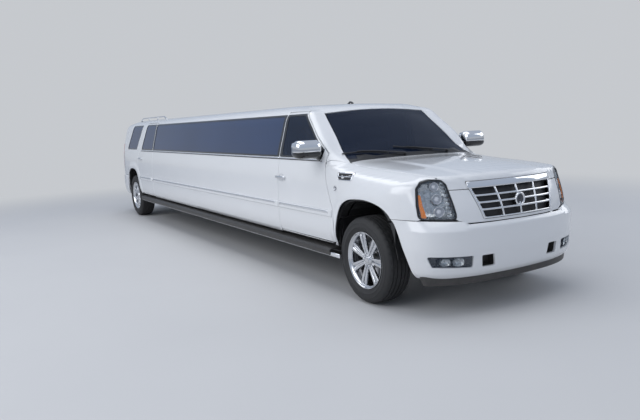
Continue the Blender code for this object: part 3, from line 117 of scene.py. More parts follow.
def spline(points, parts=10):
    # centripetal Catmull-Rom through points given as an array
    p = np.asarray(points, float)
    p = np.vstack([2 * p[0] - p[1], p, 2 * p[-1] - p[-2]])
    out = []
    for i in range(1, len(p) - 2):
        a, b, c, d = p[i - 1:i + 3]
        t0 = 0.0
        t1 = t0 + np.linalg.norm(b - a) ** 0.5
        t2 = t1 + np.linalg.norm(c - b) ** 0.5
        t3 = t2 + np.linalg.norm(d - c) ** 0.5
        t = np.linspace(t1, t2, parts, endpoint=False)[:, None]
        a1 = (t1 - t) / (t1 - t0) * a + (t - t0) / (t1 - t0) * b
        a2 = (t2 - t) / (t2 - t1) * b + (t - t1) / (t2 - t1) * c
        a3 = (t3 - t) / (t3 - t2) * c + (t - t2) / (t3 - t2) * d
        b1 = (t2 - t) / (t2 - t0) * a1 + (t - t0) / (t2 - t0) * a2
        b2 = (t3 - t) / (t3 - t1) * a2 + (t - t1) / (t3 - t1) * a3
        out.append((t2 - t) / (t2 - t1) * b1 + (t - t1) / (t2 - t1) * b2)
    return np.vstack(out + [p[-2:-1]])


# Body sections: y, sill_x, waist_x, belt_x, belt_z, head_x, head_z, edge_x, edge_z, crown_z
SECTIONS = np.array([
    (front(-1.10), 0.945, 0.985, 0.935, 1.050, 0.740, 1.125, 0.620, 1.135, 1.142),
    (front(-0.80), 0.960, 0.992, 0.942, 1.095, 0.755, 1.170, 0.640, 1.180, 1.190),
    (front(-0.40), 0.965, 0.998, 0.948, 1.130, 0.775, 1.207, 0.660, 1.220, 1.238),
    (front(0.10), 0.965, 1.000, 0.955, 1.165, 0.790, 1.235, 0.680, 1.255, 1.275),
    (front(0.44), 0.965, 1.000, 0.960, 1.215, 0.800, 1.275, 0.705, 1.288, 1.300),
    (front(0.62), 0.965, 1.000, 0.962, 1.260, 0.890, 1.338, 0.785, 1.360, 1.440),
    (front(0.80), 0.965, 1.000, 0.962, 1.290, 0.905, 1.497, 0.740, 1.515, 1.590),
    (front(1.00), 0.965, 1.000, 0.962, 1.300, 0.866, 1.652, 0.693, 1.675, 1.745),
    (front(1.18), 0.965, 1.000, 0.962, 1.300, 0.824, 1.778, 0.668, 1.805, 1.845),
    (front(1.40), 0.965, 1.000, 0.962, 1.300, 0.820, 1.782, 0.668, 1.848, 1.874),
    (front(1.90), 0.965, 1.000, 0.962, 1.300, 0.820, 1.785, 0.670, 1.862, 1.887),
    (rear(0.30), 0.965, 1.000, 0.962, 1.300, 0.820, 1.785, 0.670, 1.860, 1.885),
    (rear(0.84), 0.960, 0.992, 0.952, 1.300, 0.808, 1.765, 0.658, 1.832, 1.858),
    (rear(1.25), 0.950, 0.980, 0.940, 1.300, 0.795, 1.740, 0.645, 1.795, 1.820),
])
COLUMNS = [smooth(SECTIONS[:, 0], SECTIONS[:, i]) for i in range(1, 10)]
NOSE = smooth([0, 0.30, 0.50, 0.66, 0.80, 0.90, 0.965, 1.05],
              [0.985, 0.966, 0.925, 0.868, 0.785, 0.705, 0.590, 0.33])
TAIL = smooth([0, 0.45, 0.72, 0.86, 0.94, 0.985, 1.05], [1.120, 1.105, 1.060, 0.995, 0.900, 0.760, 0.40])
NOSE_LEAN = smooth([0.20, 0.72, 0.88, 1.15, 2.10], [0.0, 0.0, -0.020, -0.110, -0.300])
TAIL_LEAN = smooth([0.20, 0.95, 1.15, 1.30, 1.92, 2.10], [0.0, 0.0, -0.009, -0.034, -0.200, -0.260])
ARCHES = ((FRONT, 0.465), (REAR, 0.430))
LIPS = ((FRONT - 0.035, 0.500), (REAR - 0.010, 0.440))
ARCH_TOP = 0.950
ARCH_CENTRE = 0.400


def half_outline(y):
    sill, waist, belt, belt_z, head, head_z, edge, edge_z, crown = [float(c(y)) for c in COLUMNS]
    side = [(sill, SILL), (waist - 0.006, 0.600), (waist, SPLIT),
            (waist - 0.006, min(1.05, belt_z - 0.06)), (belt, belt_z),
            ((belt + head) / 2 + 0.012, (belt_z + head_z) / 2), (head, head_z), (edge, edge_z),
            (edge * 0.55, edge_z + (crown - edge_z) * 0.72), (0.0, crown),
            (-edge * 0.55, edge_z + (crown - edge_z) * 0.72)]
    curve = spline(side)
    return curve[:-10]


STATIONS = np.arange(front(-1.10), rear(1.25) + 0.04, 0.04)
ANGLES = np.linspace(0, math.pi, 181)


def radius_table():
    rows = []
    for y in STATIONS:
        curve = half_outline(y)
        angle = np.arctan2(np.abs(curve[:, 0]), curve[:, 1] - CENTRE_Z)
        reach = np.hypot(curve[:, 0], curve[:, 1] - CENTRE_Z)
        order = np.argsort(angle)
        row = np.interp(ANGLES, angle[order], reach[order])
        low = ANGLES > angle.max()
        row[low] = (CENTRE_Z - SILL) / np.maximum(-np.cos(ANGLES[low]), 0.05)
        rows.append(row)
    return np.array(rows)


TABLE = radius_table()


def cubic(values, t):
    a, b, c, d = values
    return b + 0.5 * t * (c - a + t * (2 * a - 5 * b + 4 * c - d + t * (3 * (b - c) + d - a)))


def side_radius(y, angle):
    rows = np.clip((y - STATIONS[0]) / 0.04, 0, len(STATIONS) - 1.001)
    cols = np.clip(angle / ANGLES[1], 0, len(ANGLES) - 1.001)
    i, j = rows.astype(int), cols.astype(int)
    t, u = rows - i, cols - j
    lines = []
    for k in range(-1, 3):
        row = np.clip(i + k, 0, len(STATIONS) - 1)
        lines.append(cubic([TABLE[row, np.clip(j + m, 0, len(ANGLES) - 1)] for m in range(-1, 3)], u))
    return cubic(lines, t)


def softer(a, b, size):
    # the greater of two distances, rounded where they meet
    near = np.maximum(size - np.abs(a - b), 0) / size
    return np.maximum(a, b) + near**2 * size / 4


def arch_curve(centre, half, grow=0.0, count=33):
    angle = np.linspace(0, math.pi, count)
    across = np.sign(np.cos(angle)) * np.abs(np.cos(angle)) ** 0.72
    up = np.sin(angle) ** 0.72
    return np.stack([centre + across * (half + grow), ARCH_CENTRE + up * (ARCH_TOP - ARCH_CENTRE + grow)], 1)


def bump(value, low, high):
    t = np.clip((value - low) / (high - low), 0, 1)
    return t * t * (3 - 2 * t)


def field(p):
    # distance-like value, negative inside the body
    x, y, z = np.abs(p[:, 0]), p[:, 1], p[:, 2]
    angle = np.arctan2(x, z - CENTRE_Z)
    out = side_radius(y, angle)
    for centre, half in LIPS:
        # the lip round each wheel arch
        across = (y - centre) / (half + 0.02)
        up = (z - ARCH_CENTRE) / (ARCH_TOP - ARCH_CENTRE + 0.02)
        far = (np.abs(across) ** 2.8 + np.abs(np.maximum(up, 0)) ** 2.8) ** (1 / 2.8)
        out = out + 0.012 * (1 - bump(far, 1.02, 1.20)) * (x > 0.7) * bump(z, 0.44, 0.60)
    # the raised middle of the bonnet
    dome = (1 - bump(x, 0.40, 0.50)) * bump(FRONT + 0.42 - y, 0.0, 0.35) * (z > 1.0)
    out = out + 0.010 * dome
    side = np.hypot(x, z - CENTRE_Z) - out
    step = 0.002
    slope = (NOSE(x + step) - NOSE(x - step)) / (2 * step)
    nose = (-(y - FRONT) - NOSE(x) - NOSE_LEAN(z)) / np.sqrt(1 + slope**2)
    slope = (TAIL(x + step) - TAIL(x - step)) / (2 * step)
    tail = ((y - REAR) - TAIL(x) - TAIL_LEAN(z)) / np.sqrt(1 + slope**2)
    return softer(softer(side, nose, 0.045), tail, 0.035)


def solve(origin, way, far=3.0):
    # where each ray leaves the body
    low = np.zeros(len(origin))
    high = np.full(len(origin), far)
    for _ in range(30):
        middle = (low + high) / 2
        inside = field(origin + way * middle[:, None]) < 0
        low = np.where(inside, middle, low)
        high = np.where(inside, high, middle)
    return origin + way * low[:, None]


def normals(p, h=0.004):
    out = np.zeros_like(p)
    for axis in range(3):
        step = np.zeros(3)
        step[axis] = h
        out[:, axis] = field(p + step) - field(p - step)
    return out / np.linalg.norm(out, axis=1)[:, None]


# Points on the body given in a side, top, front or rear view
def from_side(points):
    p = np.asarray(points, float)
    origin = np.stack([np.zeros(len(p)), p[:, 0], p[:, 1]], 1)
    return solve(origin, np.tile([1.0, 0, 0], (len(p), 1)))


def from_top(points, base=0.75):
    p = np.asarray(points, float)
    origin = np.stack([p[:, 0], p[:, 1], np.full(len(p), base)], 1)
    return solve(origin, np.tile([0, 0, 1.0], (len(p), 1)))


def from_front(points):
    p = np.asarray(points, float)
    origin = np.stack([p[:, 0], np.full(len(p), front(-0.40)), p[:, 1]], 1)
    return solve(origin, np.tile([0, -1.0, 0], (len(p), 1)))


def from_rear(points):
    p = np.asarray(points, float)
    origin = np.stack([p[:, 0], np.full(len(p), rear(0.30)), p[:, 1]], 1)
    return solve(origin, np.tile([0, 1.0, 0], (len(p), 1)))


def fine(points, step=0.02, closed=False):
    # the same line with more points on its straight parts
    p = [np.asarray(q, float) for q in points]
    if closed:
        p.append(p[0])
    out = []
    for a, b in zip(p[:-1], p[1:]):
        count = max(1, int(math.ceil(np.linalg.norm(b - a) / step)))
        out += [a + (b - a) * k / count for k in range(count)]
    if not closed:
        out.append(p[-1])
    return np.array(out)


def rounded(outline, radius, steps=5):
    result = []
    count = len(outline)
    for index in range(count):
        before, corner, after = [Vector(outline[(index + k) % count]) for k in (-1, 0, 1)]
        to_before = (before - corner).normalized()
        to_after = (after - corner).normalized()
        angle = to_before.angle(to_after)
        if angle > math.radians(170):
            result.append(tuple(corner))
            continue
        reach = min(radius / math.tan(angle / 2), 0.45 * (before - corner).length,
                    0.45 * (after - corner).length)
        start, finish = corner + to_before * reach, corner + to_after * reach
        for step in range(steps + 1):
            part = step / steps
            result.append(tuple(start.lerp(corner, part).lerp(corner.lerp(finish, part), part)))
    return result


def grown(outline, amount):
    count = len(outline)
    p = [Vector(q) for q in outline]
    area = sum(p[i].x * p[(i + 1) % count].y - p[(i + 1) % count].x * p[i].y for i in range(count))
    sign = 1.0 if area > 0 else -1.0
    result = []
    for i in range(count):
        first = (p[i] - p[i - 1]).normalized()
        second = (p[(i + 1) % count] - p[i]).normalized()
        one = Vector((first.y, -first.x)) * sign
        two = Vector((second.y, -second.x)) * sign
        middle = (one + two).normalized()
        result.append(tuple(p[i] + middle * amount / max(0.3, middle.dot(one))))
    return result


def thinned(loop, least):
    # drops points closer than the least distance
    keep = [loop[0]]
    for q in loop[1:]:
        if np.linalg.norm(q - keep[-1]) > least:
            keep.append(q)
    if np.linalg.norm(keep[-1] - keep[0]) < least:
        keep.pop()
    return np.array(keep)


# Ways to lay the body's surface out flat
class Tube:
    # round the lengthwise axis: y and angle
    def flat(self, p):
        return np.stack([p[:, 1], np.arctan2(p[:, 0], p[:, 2] - CENTRE_Z)], 1)

    def at(self, q):
        origin = np.stack([np.zeros(len(q)), q[:, 0], np.full(len(q), CENTRE_Z)], 1)
        way = np.stack([np.sin(q[:, 1]), np.zeros(len(q)), np.cos(q[:, 1])], 1)
        p = solve(origin, way)
        return p, normals(p)


class Ball:
    # seen from a point inside, laid out round a direction
    def __init__(self, origin, axis):
        self.origin = np.array(origin, float)
        self.axis = np.array(axis, float) / np.linalg.norm(axis)
        self.one = np.cross(self.axis, [0.3, 0.1, 0.9])
        self.one /= np.linalg.norm(self.one)
        self.two = np.cross(self.axis, self.one)

    def flat(self, p):
        u = p - self.origin
        u /= np.linalg.norm(u, axis=1)[:, None]
        return np.stack([u @ self.one, u @ self.two], 1) / (1 + u @ self.axis)[:, None]

    def at(self, q):
        s = (q**2).sum(1)[:, None]
        way = (2 * q[:, :1] * self.one + 2 * q[:, 1:] * self.two + (1 - s) * self.axis) / (1 + s)
        p = solve(np.tile(self.origin, (len(q), 1)), way)
        return p, normals(p)


def inside_loop(points, loop):
    x, y = points[:, 0][:, None], points[:, 1][:, None]
    a, b = loop, np.roll(loop, -1, 0)
    crosses = (a[:, 1] > y) != (b[:, 1] > y)
    rise = np.where(np.abs(b[:, 1] - a[:, 1]) < 1e-12, 1e-12, b[:, 1] - a[:, 1])
    at_x = a[:, 0] + (y - a[:, 1]) / rise * (b[:, 0] - a[:, 0])
    return (crosses & (x < at_x)).sum(1) % 2 == 1


def add_mesh(name, verts, faces, loop_normals=None, slots=None):
    mesh = bpy.data.meshes.new(name)
    mesh.from_pydata([tuple(v) for v in verts], [], [tuple(int(i) for i in f) for f in faces])
    mesh.polygons.foreach_set("use_smooth", [True] * len(mesh.polygons))
    if slots is not None:
        mesh.polygons.foreach_set("material_index", slots)
    if loop_normals is not None:
        mesh.normals_split_custom_set([tuple(n) for n in loop_normals])
    obj = bpy.data.objects.new(name, mesh)
    bpy.context.scene.collection.objects.link(obj)
    return obj


def panel(name, layout, loops, step, depth=0.014, edge=0.0025, inset=0.0, free=None, sides=("left",),
          backing=False,
          dense=None):
    """A closed sheet over part of the body. loops: outer line and holes as points in space. free marks points, as a
    function of the points, whose edge is not rounded because the next sheet goes on from there."""
    flat, ring_edge, rings = [], [], []
    for loop in loops:
        q = layout.flat(np.asarray(loop, float))
        flat.append(q)
        ring_edge.append(np.full(len(q), edge) if free is None else np.where(free(np.asarray(loop,
                float)), 0.0, edge))
    # each line's outward direction in the layout
    moved = []
    for index, (q, e) in enumerate(zip(flat, ring_edge)):
        along = np.roll(q, -1, 0) - np.roll(q, 1, 0)
        along /= np.maximum(np.linalg.norm(along, axis=1)[:, None], 1e-12)
        away = np.stack([along[:, 1], -along[:, 0]], 1)
        probe = inside_loop(q + away * 1e-4, q)
        if (probe.mean() > 0.5) == (index == 0):
            away = -away
        p, n = layout.at(q)
        near, _ = layout.at(q - away * 1e-3)
        scale = np.linalg.norm(near - p, axis=1) / 1e-3
        inner = q - away * (e / np.maximum(scale, 1e-6))[:, None]
        out = p - near
        out -= n * (out * n).sum(1)[:, None]
        out /= np.maximum(np.linalg.norm(out, axis=1)[:, None], 1e-12)
        moved.append(inner)
        rings.append((p, n, out, e))
    points = np.vstack(moved)
    border = len(points)
    low, high = points.min(0), points.max(0)
    us = np.arange(low[0] + step[0] / 2, high[0], step[0])
    vs = np.arange(low[1] + step[1] / 2, high[1], step[1])
    grid = np.stack(np.meshgrid(us, vs), -1).reshape(-1, 2)
    keep = inside_loop(grid, moved[0])
    for hole in moved[1:]:
        keep &= ~inside_loop(grid, hole)
    grid = grid[keep]
    room = np.full(len(grid), 0.45)
    if dense is not None:
        # where the body turns sharply the sheet gets nine points for one
        chosen = dense(layout.at(grid)[0])
        thirds = np.array([(a, b) for a in (-1, 0, 1) for b in (-1, 0, 1)]) / 3 * step
        more = (grid[chosen][:, None] + thirds).reshape(-1, 2)
        keep = inside_loop(more, moved[0])
        for hole in moved[1:]:
            keep &= ~inside_loop(more, hole)
        room = np.concatenate([room[~chosen], np.full(keep.sum(), 0.17)])
        grid = np.vstack([grid[~chosen], more[keep]])
    scaled = points / step
    far = np.full(len(grid), 9.0)
    for start in range(0, border, 400):
        gap = np.linalg.norm(grid[:, None] / step - scaled[None, start:start + 400], axis=2)
        far = np.minimum(far, gap.min(1))
    grid = grid[far > room]
    points = np.vstack([points, grid])
    edges, base = [], 0
    for q in moved:
        edges += [(base + i, base + (i + 1) % len(q)) for i in range(len(q))]
        base += len(q)
    scaled = points / step
    verts, _, faces, source, _, _ = delaunay_2d_cdt([Vector(q) for q in scaled], edges, [], 0, 1e-7)
    index = []
    extra = []
    for i, who in enumerate(source):
        if who:
            index.append(min(who))
        else:
            index.append(len(points) + len(extra))
            extra.append(np.array(verts[i]) * step)
    if extra:
        points = np.vstack([points, extra])
    faces = np.array([[index[i] for i in f] for f in faces])
    middle = points[faces].mean(1)
    keep = inside_loop(middle, moved[0])
    for hole in moved[1:]:
        keep &= ~inside_loop(middle, hole)
    faces = faces[keep]
    top, top_n = layout.at(points)
    face_n = np.cross(top[faces[:, 1]] - top[faces[:, 0]], top[faces[:, 2]] - top[faces[:, 0]])
    turn = (face_n * top_n[faces[:, 0]]).sum(1) < 0
    faces[turn] = faces[turn][:, ::-1]
    top = top - top_n * inset
    count = len(top)
    under = top - top_n * depth
    all_verts = [top, under]
    out_faces = [tuple(f) for f in faces]
    loop_n = [top_n[i] for f in faces for i in f]
    slots = [0] * len(faces)
    rim = []
    base = 0
    extra_at = 2 * count
    for (p, n, out, e), q in zip(rings, moved):
        size = len(q)
        lip = np.where(e[:, None] > 0, p - n * (inset + e[:, None]), p - n * inset)
        low_edge = p - n * (inset + depth)
        under[base:base + size] = low_edge
        all_verts.append(lip)
        lips = np.arange(extra_at, extra_at + size)
        extra_at += size
        tops = np.arange(base, base + size)
        lows = tops + count
        mixed = (n + out) / np.linalg.norm(n + out, axis=1)[:, None]
        rim.append((tops, lips, lows, n, mixed, out, e))
        base += size
    edge_faces = {}
    for f in faces:
        for a, b in ((f[0], f[1]), (f[1], f[2]), (f[2], f[0])):
            edge_faces[(a, b)] = True
    for tops, lips, lows, n, mixed, out, e in rim:
        size = len(tops)
        for i in range(size):
            j = (i + 1) % size
            a, b = tops[i], tops[j]
            if (a, b) in edge_faces:
                i, j, a, b = j, i, b, a
            elif (b, a) not in edge_faces:
                continue
            one = lips[i] if e[i] > 0 else a
            two = lips[j] if e[j] > 0 else b
            if e[i] > 0 and e[j] > 0:
                out_faces.append((a, b, two, one))
                loop_n += [n[i], n[j], mixed[j], mixed[i]]
                slots.append(0)
            elif e[i] > 0 or e[j] > 0:
                out_faces.append((a, b, one) if e[i] > 0 else (a, b, two))
                loop_n += [n[i], n[j], mixed[i] if e[i] > 0 else mixed[j]]
                slots.append(0)
            out_faces.append((one, two, lows[j], lows[i]))
            loop_n += [out[i], out[j], out[j], out[i]]
            slots.append(0)
    for f in faces:
        out_faces.append((f[0] + count, f[2] + count, f[1] + count))
        loop_n += [-top_n[f[0]], -top_n[f[2]], -top_n[f[1]]]
        slots.append(1 if backing else 0)
    verts = np.vstack(all_verts)
    loop_n = np.array(loop_n)
    # one mesh for each side asked for, the right one mirrored
    made = {}
    for side in sides:
        sign = 1 if side in ("left", "whole") else -1
        flip = np.array([sign, 1, 1])
        side_faces = out_faces if sign > 0 else [tuple(reversed(f)) for f in out_faces]
        side_normals = loop_n
        if sign < 0:
            pieces, at = [], 0
            for f in out_faces:
                pieces.append(loop_n[at:at + len(f)][::-1] * flip)
                at += len(f)
            side_normals = np.vstack(pieces)
        title = name if side == "whole" else f"{name}_{side}"
        made[side] = add_mesh(title, verts * flip, side_faces, side_normals, slots)
    return made


# Outlines in the side view, measured from the named axle
def placed(outline, place):
    return [(place(a), z) for a, z in outline]


DOOR_FRONT = placed([(0.478, 0.500), (0.478, 0.720), (0.505, 0.850), (0.565, 0.980), (0.625, 1.120),
                     (0.655, 1.250), (0.668, 1.365),
                     (0.800, 1.486), (1.000, 1.638), (1.165, 1.768), (1.215, 1.800), (1.632, 1.800),
                     (1.655, 1.300), (1.665, 0.500)], front)
DOOR_REAR = placed([(-1.335, 0.500), (-1.335, 1.800), (-0.680, 1.800), (-0.545, 1.340), (-0.380, 1.255),
                    (-0.355, 1.110),
                    (-0.370, 1.000), (-0.440, 0.900), (-0.475, 0.800), (-0.475, 0.500)], rear)
GLASS_LOW, GLASS_HIGH = 1.330, 1.762
WINDOW_FRONT = placed([(0.745, GLASS_LOW), (1.603, GLASS_LOW), (1.590, GLASS_HIGH), (1.215, GLASS_HIGH),
                       (0.735, 1.395)], front)
WINDOW_REAR = placed([(-1.300, GLASS_LOW), (-0.600, GLASS_LOW), (-0.735, GLASS_HIGH),
                      (-1.300, GLASS_HIGH)], rear)
WINDOW_SIDE = [(front(1.705), GLASS_LOW), (rear(-1.375), GLASS_LOW), (rear(-1.375), GLASS_HIGH),
               (front(1.680), GLASS_HIGH)]
WINDOW_QUARTER = placed([(-0.225, GLASS_LOW), (0.430, GLASS_LOW), (0.235, GLASS_HIGH),
                         (-0.425, GLASS_HIGH)], rear)
GATE = [(-0.775, 0.820), (0.775, 0.820), (0.775, 1.250), (0.730, 1.560), (0.620, 1.780), (0.610, 2.000),
        (-0.610, 2.000),
        (-0.620, 1.780), (-0.730, 1.560), (-0.775, 1.250)]
GATE_HINGE = rear(0.840)
GATE_WINDOW = [(-0.665, 1.335), (0.665, 1.335), (0.590, 1.690), (-0.590, 1.690)]
HEADLAMP = [(0.632, 0.828), (0.902, 0.843), (0.900, 0.960), (0.878, 1.100), (0.838, 1.152),
            (0.780, 1.170), (0.695, 1.162), (0.661, 1.125)]
GRILLE = [(-0.405, 0.828), (0.405, 0.828), (0.500, 1.136), (-0.500, 1.136)]
BONNET_EDGE = [(0.714, -0.725), (0.735, -0.66), (0.775, -0.40), (0.790, 0.10), (0.800, 0.440)]

TUBE = Tube()
NOSE_VIEW = Ball((0, front(-0.15), 0.55), (0, -0.6, 0.8))
FENDER_VIEW = Ball((0, front(-0.05), 0.70), (1, -0.25, 0.25))
CORNER_VIEW = Ball((0, rear(0.05), 0.90), (1, 0.35, 0.15))
TAIL_VIEW = Ball((0, rear(0.0), 1.00), (0, 1, 0.25))

front_door = fine(rounded(DOOR_FRONT, 0.035), 0.025, True)
rear_door = fine(rounded(DOOR_REAR, 0.035), 0.025, True)
front_room = np.array(grown([tuple(q) for q in front_door], SHUT))
rear_room = np.array(grown([tuple(q) for q in rear_door], SHUT))


def sliced(line, test, key):
    part = line[test(line)]
    return part[np.argsort(part[:, key])]


def stretch_of(loop, start, finish):
    # the shorter way round a closed line between the points nearest to two places
    i, j = [int(np.argmin(np.linalg.norm(loop - np.array(q), axis=1))) for q in (start, finish)]
    count = len(loop)
    ahead = [(i + k) % count for k in range((j - i) % count + 1)]
    back = [(i - k) % count for k in range((i - j) % count + 1)]
    return loop[ahead if len(ahead) <= len(back) else back]


def mirrored_loop(half):
    # half runs from the centre line round the left side back to the centre line
    other = half[::-1] * np.array([-1, 1, 1])
    return np.vstack([half, other])


def along_z(z, start, finish, centre_y, count=16):
    # points at one height between two points on the body
    angles = [math.atan2(q[1] - centre_y, q[0]) for q in (start, finish)]
    a = np.linspace(angles[0], angles[1], count)
    way = np.stack([np.cos(a), np.sin(a), np.zeros(count)], 1)
    return solve(np.tile([0, centre_y, z], (count, 1)), way)


def window(points, radius, amount=0.0):
    return fine(grown(rounded(points, radius), amount) if amount else rounded(points, radius), 0.03, True)


# Seam between fender and windscreen pillar, in plan
PILLAR_SEAM = [(0.9615, front(0.650)), (0.925, front(0.600)), (0.865, front(0.525)), (0.806, front(0.4455))]

front_edge = sliced(front_room, lambda q: (q[:, 0] < front(0.70)) & (q[:, 1] < 1.245), 1)
front_edge = np.vstack([[front_edge[0][0], SILL + 0.002], front_edge[front_edge[:, 1] > 0.52]])
# the door's lip swings outside its hinge where the body is widest
front_edge = fine(front_edge, 0.03)
front_edge[:, 0] -= 0.0048 * np.exp(-(((front_edge[:, 1] - 0.695) / 0.065) ** 2))
SIDE_SPLIT = 0.8390
ARCH_LINE = placed([(-0.4350, SIDE_SPLIT), (-0.412, 0.867), (-0.316, 0.925), (-0.119, 0.966),
                    (0.060, 0.968), (0.225, 0.945),
                    (0.330, 0.890), (0.395, 0.800), (0.438, 0.680), (0.4600, 0.560),
                    (0.4645, SILL + 0.002)], front)
arch = spline(ARCH_LINE, 5)
lamp_line = fine(rounded(HEADLAMP, 0.045), 0.008, True)
lamp_room = np.array(grown([tuple(q) for q in lamp_line], 0.003))
lamp_side = stretch_of(lamp_room, (0.7235, 1.170), (0.897, 0.843))
fender_loop = thinned(np.vstack([
    from_side(fine(front_edge, 0.03)),
    from_top(fine(PILLAR_SEAM, 0.02))[1:],
    from_top(fine([(x + 0.005, front(d)) for x, d in reversed(BONNET_EDGE)], 0.03)),
    from_front(lamp_side),
    from_front([(0.9060, SIDE_SPLIT)]),
    from_side(fine([(front(-0.635), SIDE_SPLIT), (arch[0][0], SIDE_SPLIT)], 0.02)),
    from_side(arch[1:]),
]), 0.004)
pieces = {}


# Materials
def shader(name, colour, rough, metal=0.0, vary=0.04, scale=6.0, rough_vary=0.05, bump=0.0,
           bump_scale=400.0, coat=0.0,
           alpha=1.0, ior=1.5, dust=0.0, stretch=(1, 1, 1)):
    """A node material whose colour and roughness drift a little, with fine relief and road dust low down."""
    mat = bpy.data.materials.new(name)
    mat.use_nodes = True
    tree = mat.node_tree
    link = tree.links.new
    out = tree.nodes["Principled BSDF"]
    out.inputs["Metallic"].default_value = metal
    out.inputs["IOR"].default_value = ior
    out.inputs["Coat Weight"].default_value = coat
    out.inputs["Coat Roughness"].default_value = 0.03
    out.inputs["Alpha"].default_value = alpha
    place = tree.nodes.new("ShaderNodeTexCoord")
    moved = tree.nodes.new("ShaderNodeMapping")
    moved.inputs["Scale"].default_value = stretch
    link(place.outputs["Object"], moved.inputs["Vector"])
    noise = tree.nodes.new("ShaderNodeTexNoise")
    noise.inputs["Scale"].default_value = scale
    noise.inputs["Detail"].default_value = 5.0
    link(moved.outputs["Vector"], noise.inputs["Vector"])
    mix = tree.nodes.new("ShaderNodeMix")
    mix.data_type = "RGBA"
    link(noise.outputs["Fac"], mix.inputs["Factor"])
    mix.inputs["A"].default_value = (*[max(0.0, c * (1 - vary)) for c in colour], 1)
    mix.inputs["B"].default_value = (*[min(1.0, c * (1 + vary)) for c in colour], 1)
    result = mix.outputs["Result"]
    if dust:
        spot = tree.nodes.new("ShaderNodeSeparateXYZ")
        link(place.outputs["Object"], spot.inputs["Vector"])
        low = tree.nodes.new("ShaderNodeMapRange")
        low.inputs["From Min"].default_value = 0.75
        low.inputs["From Max"].default_value = 0.20
        low.inputs["To Max"].default_value = dust
        link(spot.outputs["Z"], low.inputs["Value"])
        amount = tree.nodes.new("ShaderNodeMath")
        amount.operation = "MULTIPLY"
        link(low.outputs["Result"], amount.inputs[0])
        link(noise.outputs["Fac"], amount.inputs[1])
        over = tree.nodes.new("ShaderNodeMix")
        over.data_type = "RGBA"
        link(amount.outputs["Value"], over.inputs["Factor"])
        link(result, over.inputs["A"])
        over.inputs["B"].default_value = (0.30, 0.27, 0.23, 1)
        result = over.outputs["Result"]
    link(result, out.inputs["Base Color"])
    span = tree.nodes.new("ShaderNodeMapRange")
    link(noise.outputs["Fac"], span.inputs["Value"])
    span.inputs["To Min"].default_value = max(0.0, rough - rough_vary)
    span.inputs["To Max"].default_value = rough + rough_vary
    link(span.outputs["Result"], out.inputs["Roughness"])
    if bump:
        grain = tree.nodes.new("ShaderNodeTexNoise")
        grain.inputs["Scale"].default_value = bump_scale
        link(place.outputs["Object"], grain.inputs["Vector"])
        relief = tree.nodes.new("ShaderNodeBump")
        relief.inputs["Strength"].default_value = bump
        relief.inputs["Distance"].default_value = 0.001
        link(grain.outputs["Fac"], relief.inputs["Height"])
        link(relief.outputs["Normal"], out.inputs["Normal"])
    return mat


PAINT = shader("gloss_white_paint", (0.80, 0.81, 0.825), 0.22, vary=0.012, scale=1.5, rough_vary=0.03,
               coat=1.0, dust=0.16,
               bump=0.03, bump_scale=260)
CHROME = shader("polished_chrome", (0.83, 0.84, 0.86), 0.07, metal=1.0, vary=0.03, scale=9, rough_vary=0.03)
DARK_GLASS = shader("dark_blue_glass", (0.016, 0.036, 0.100), 0.03, vary=0.30, scale=0.8,
                    rough_vary=0.015, ior=1.7)
CLEAR_GLASS = shader("tinted_glass", (0.008, 0.016, 0.038), 0.02, vary=0.10, scale=1.2, rough_vary=0.01,
                     alpha=0.72, ior=1.38)
LENS = shader("lamp_lens", (0.30, 0.36, 0.46), 0.03, vary=0.10, scale=8, rough_vary=0.015, alpha=0.07,
              ior=1.5)
AMBER = shader("amber_lens", (0.85, 0.24, 0.02), 0.12, vary=0.10, scale=60, bump=0.5, bump_scale=160)
RED_LENS = shader("red_lens", (0.42, 0.012, 0.014), 0.10, vary=0.12, scale=30, bump=0.3, bump_scale=120,
                  coat=1.0)
# lamp reflectors: the blue tint and the strong dark and bright patches in their colour are painted reflection of the
# sky in a faceted lamp, not the metal's own colour
REFLECTOR = shader("lamp_reflector", (0.52, 0.60, 0.74), 0.12, metal=1.0, vary=0.85, scale=42,
                   rough_vary=0.08, bump=4.0,
                   bump_scale=60)
BLACK_PLASTIC = shader("black_plastic", (0.022, 0.022, 0.024), 0.45, vary=0.18, scale=14, rough_vary=0.08,
                       bump=0.5,
                       bump_scale=700, dust=0.25)
GLOSS_BLACK = shader("gloss_black_trim", (0.010, 0.010, 0.012), 0.10, vary=0.10, scale=5, rough_vary=0.03,
                     coat=0.5)
RUBBER = shader("seal_rubber", (0.016, 0.016, 0.017), 0.62, vary=0.15, scale=30, rough_vary=0.08,
                bump=0.3, bump_scale=500)
TYRE = shader("tyre_rubber", (0.026, 0.026, 0.027), 0.66, vary=0.22, scale=18, rough_vary=0.10, bump=0.6,
              bump_scale=420)
CHASSIS = shader("satin_black_steel", (0.028, 0.028, 0.030), 0.55, metal=0.3, vary=0.22, scale=9,
                 bump=0.4, bump_scale=260, dust=0.5)
IRON = shader("cast_iron", (0.14, 0.135, 0.13), 0.62, metal=0.7, vary=0.25, scale=22, bump=0.8,
              bump_scale=320)
ALLOY = shader("cast_alloy", (0.36, 0.36, 0.37), 0.45, metal=0.8, vary=0.18, scale=18, bump=0.7,
               bump_scale=260)
STEEL = shader("dull_steel", (0.34, 0.32, 0.30), 0.40, metal=0.9, vary=0.25, scale=12, bump=0.3,
               bump_scale=200, dust=0.4)
DISC = shader("brake_disc_steel", (0.46, 0.46, 0.47), 0.30, metal=1.0, vary=0.12, scale=30, rough_vary=0.08)
LEATHER = shader("black_leather", (0.030, 0.027, 0.026), 0.46, vary=0.20, scale=8, rough_vary=0.08,
                 bump=0.9, bump_scale=330)
MIRROR_GLASS = shader("mirror_glass", (0.62, 0.66, 0.72), 0.02, metal=1.0, vary=0.03, scale=4,
                      rough_vary=0.01)
WHEEL_METAL = shader("bright_wheel_metal", (0.70, 0.71, 0.73), 0.16, metal=1.0, vary=0.05, scale=14,
                     rough_vary=0.05, bump=0.1,
                     bump_scale=500)
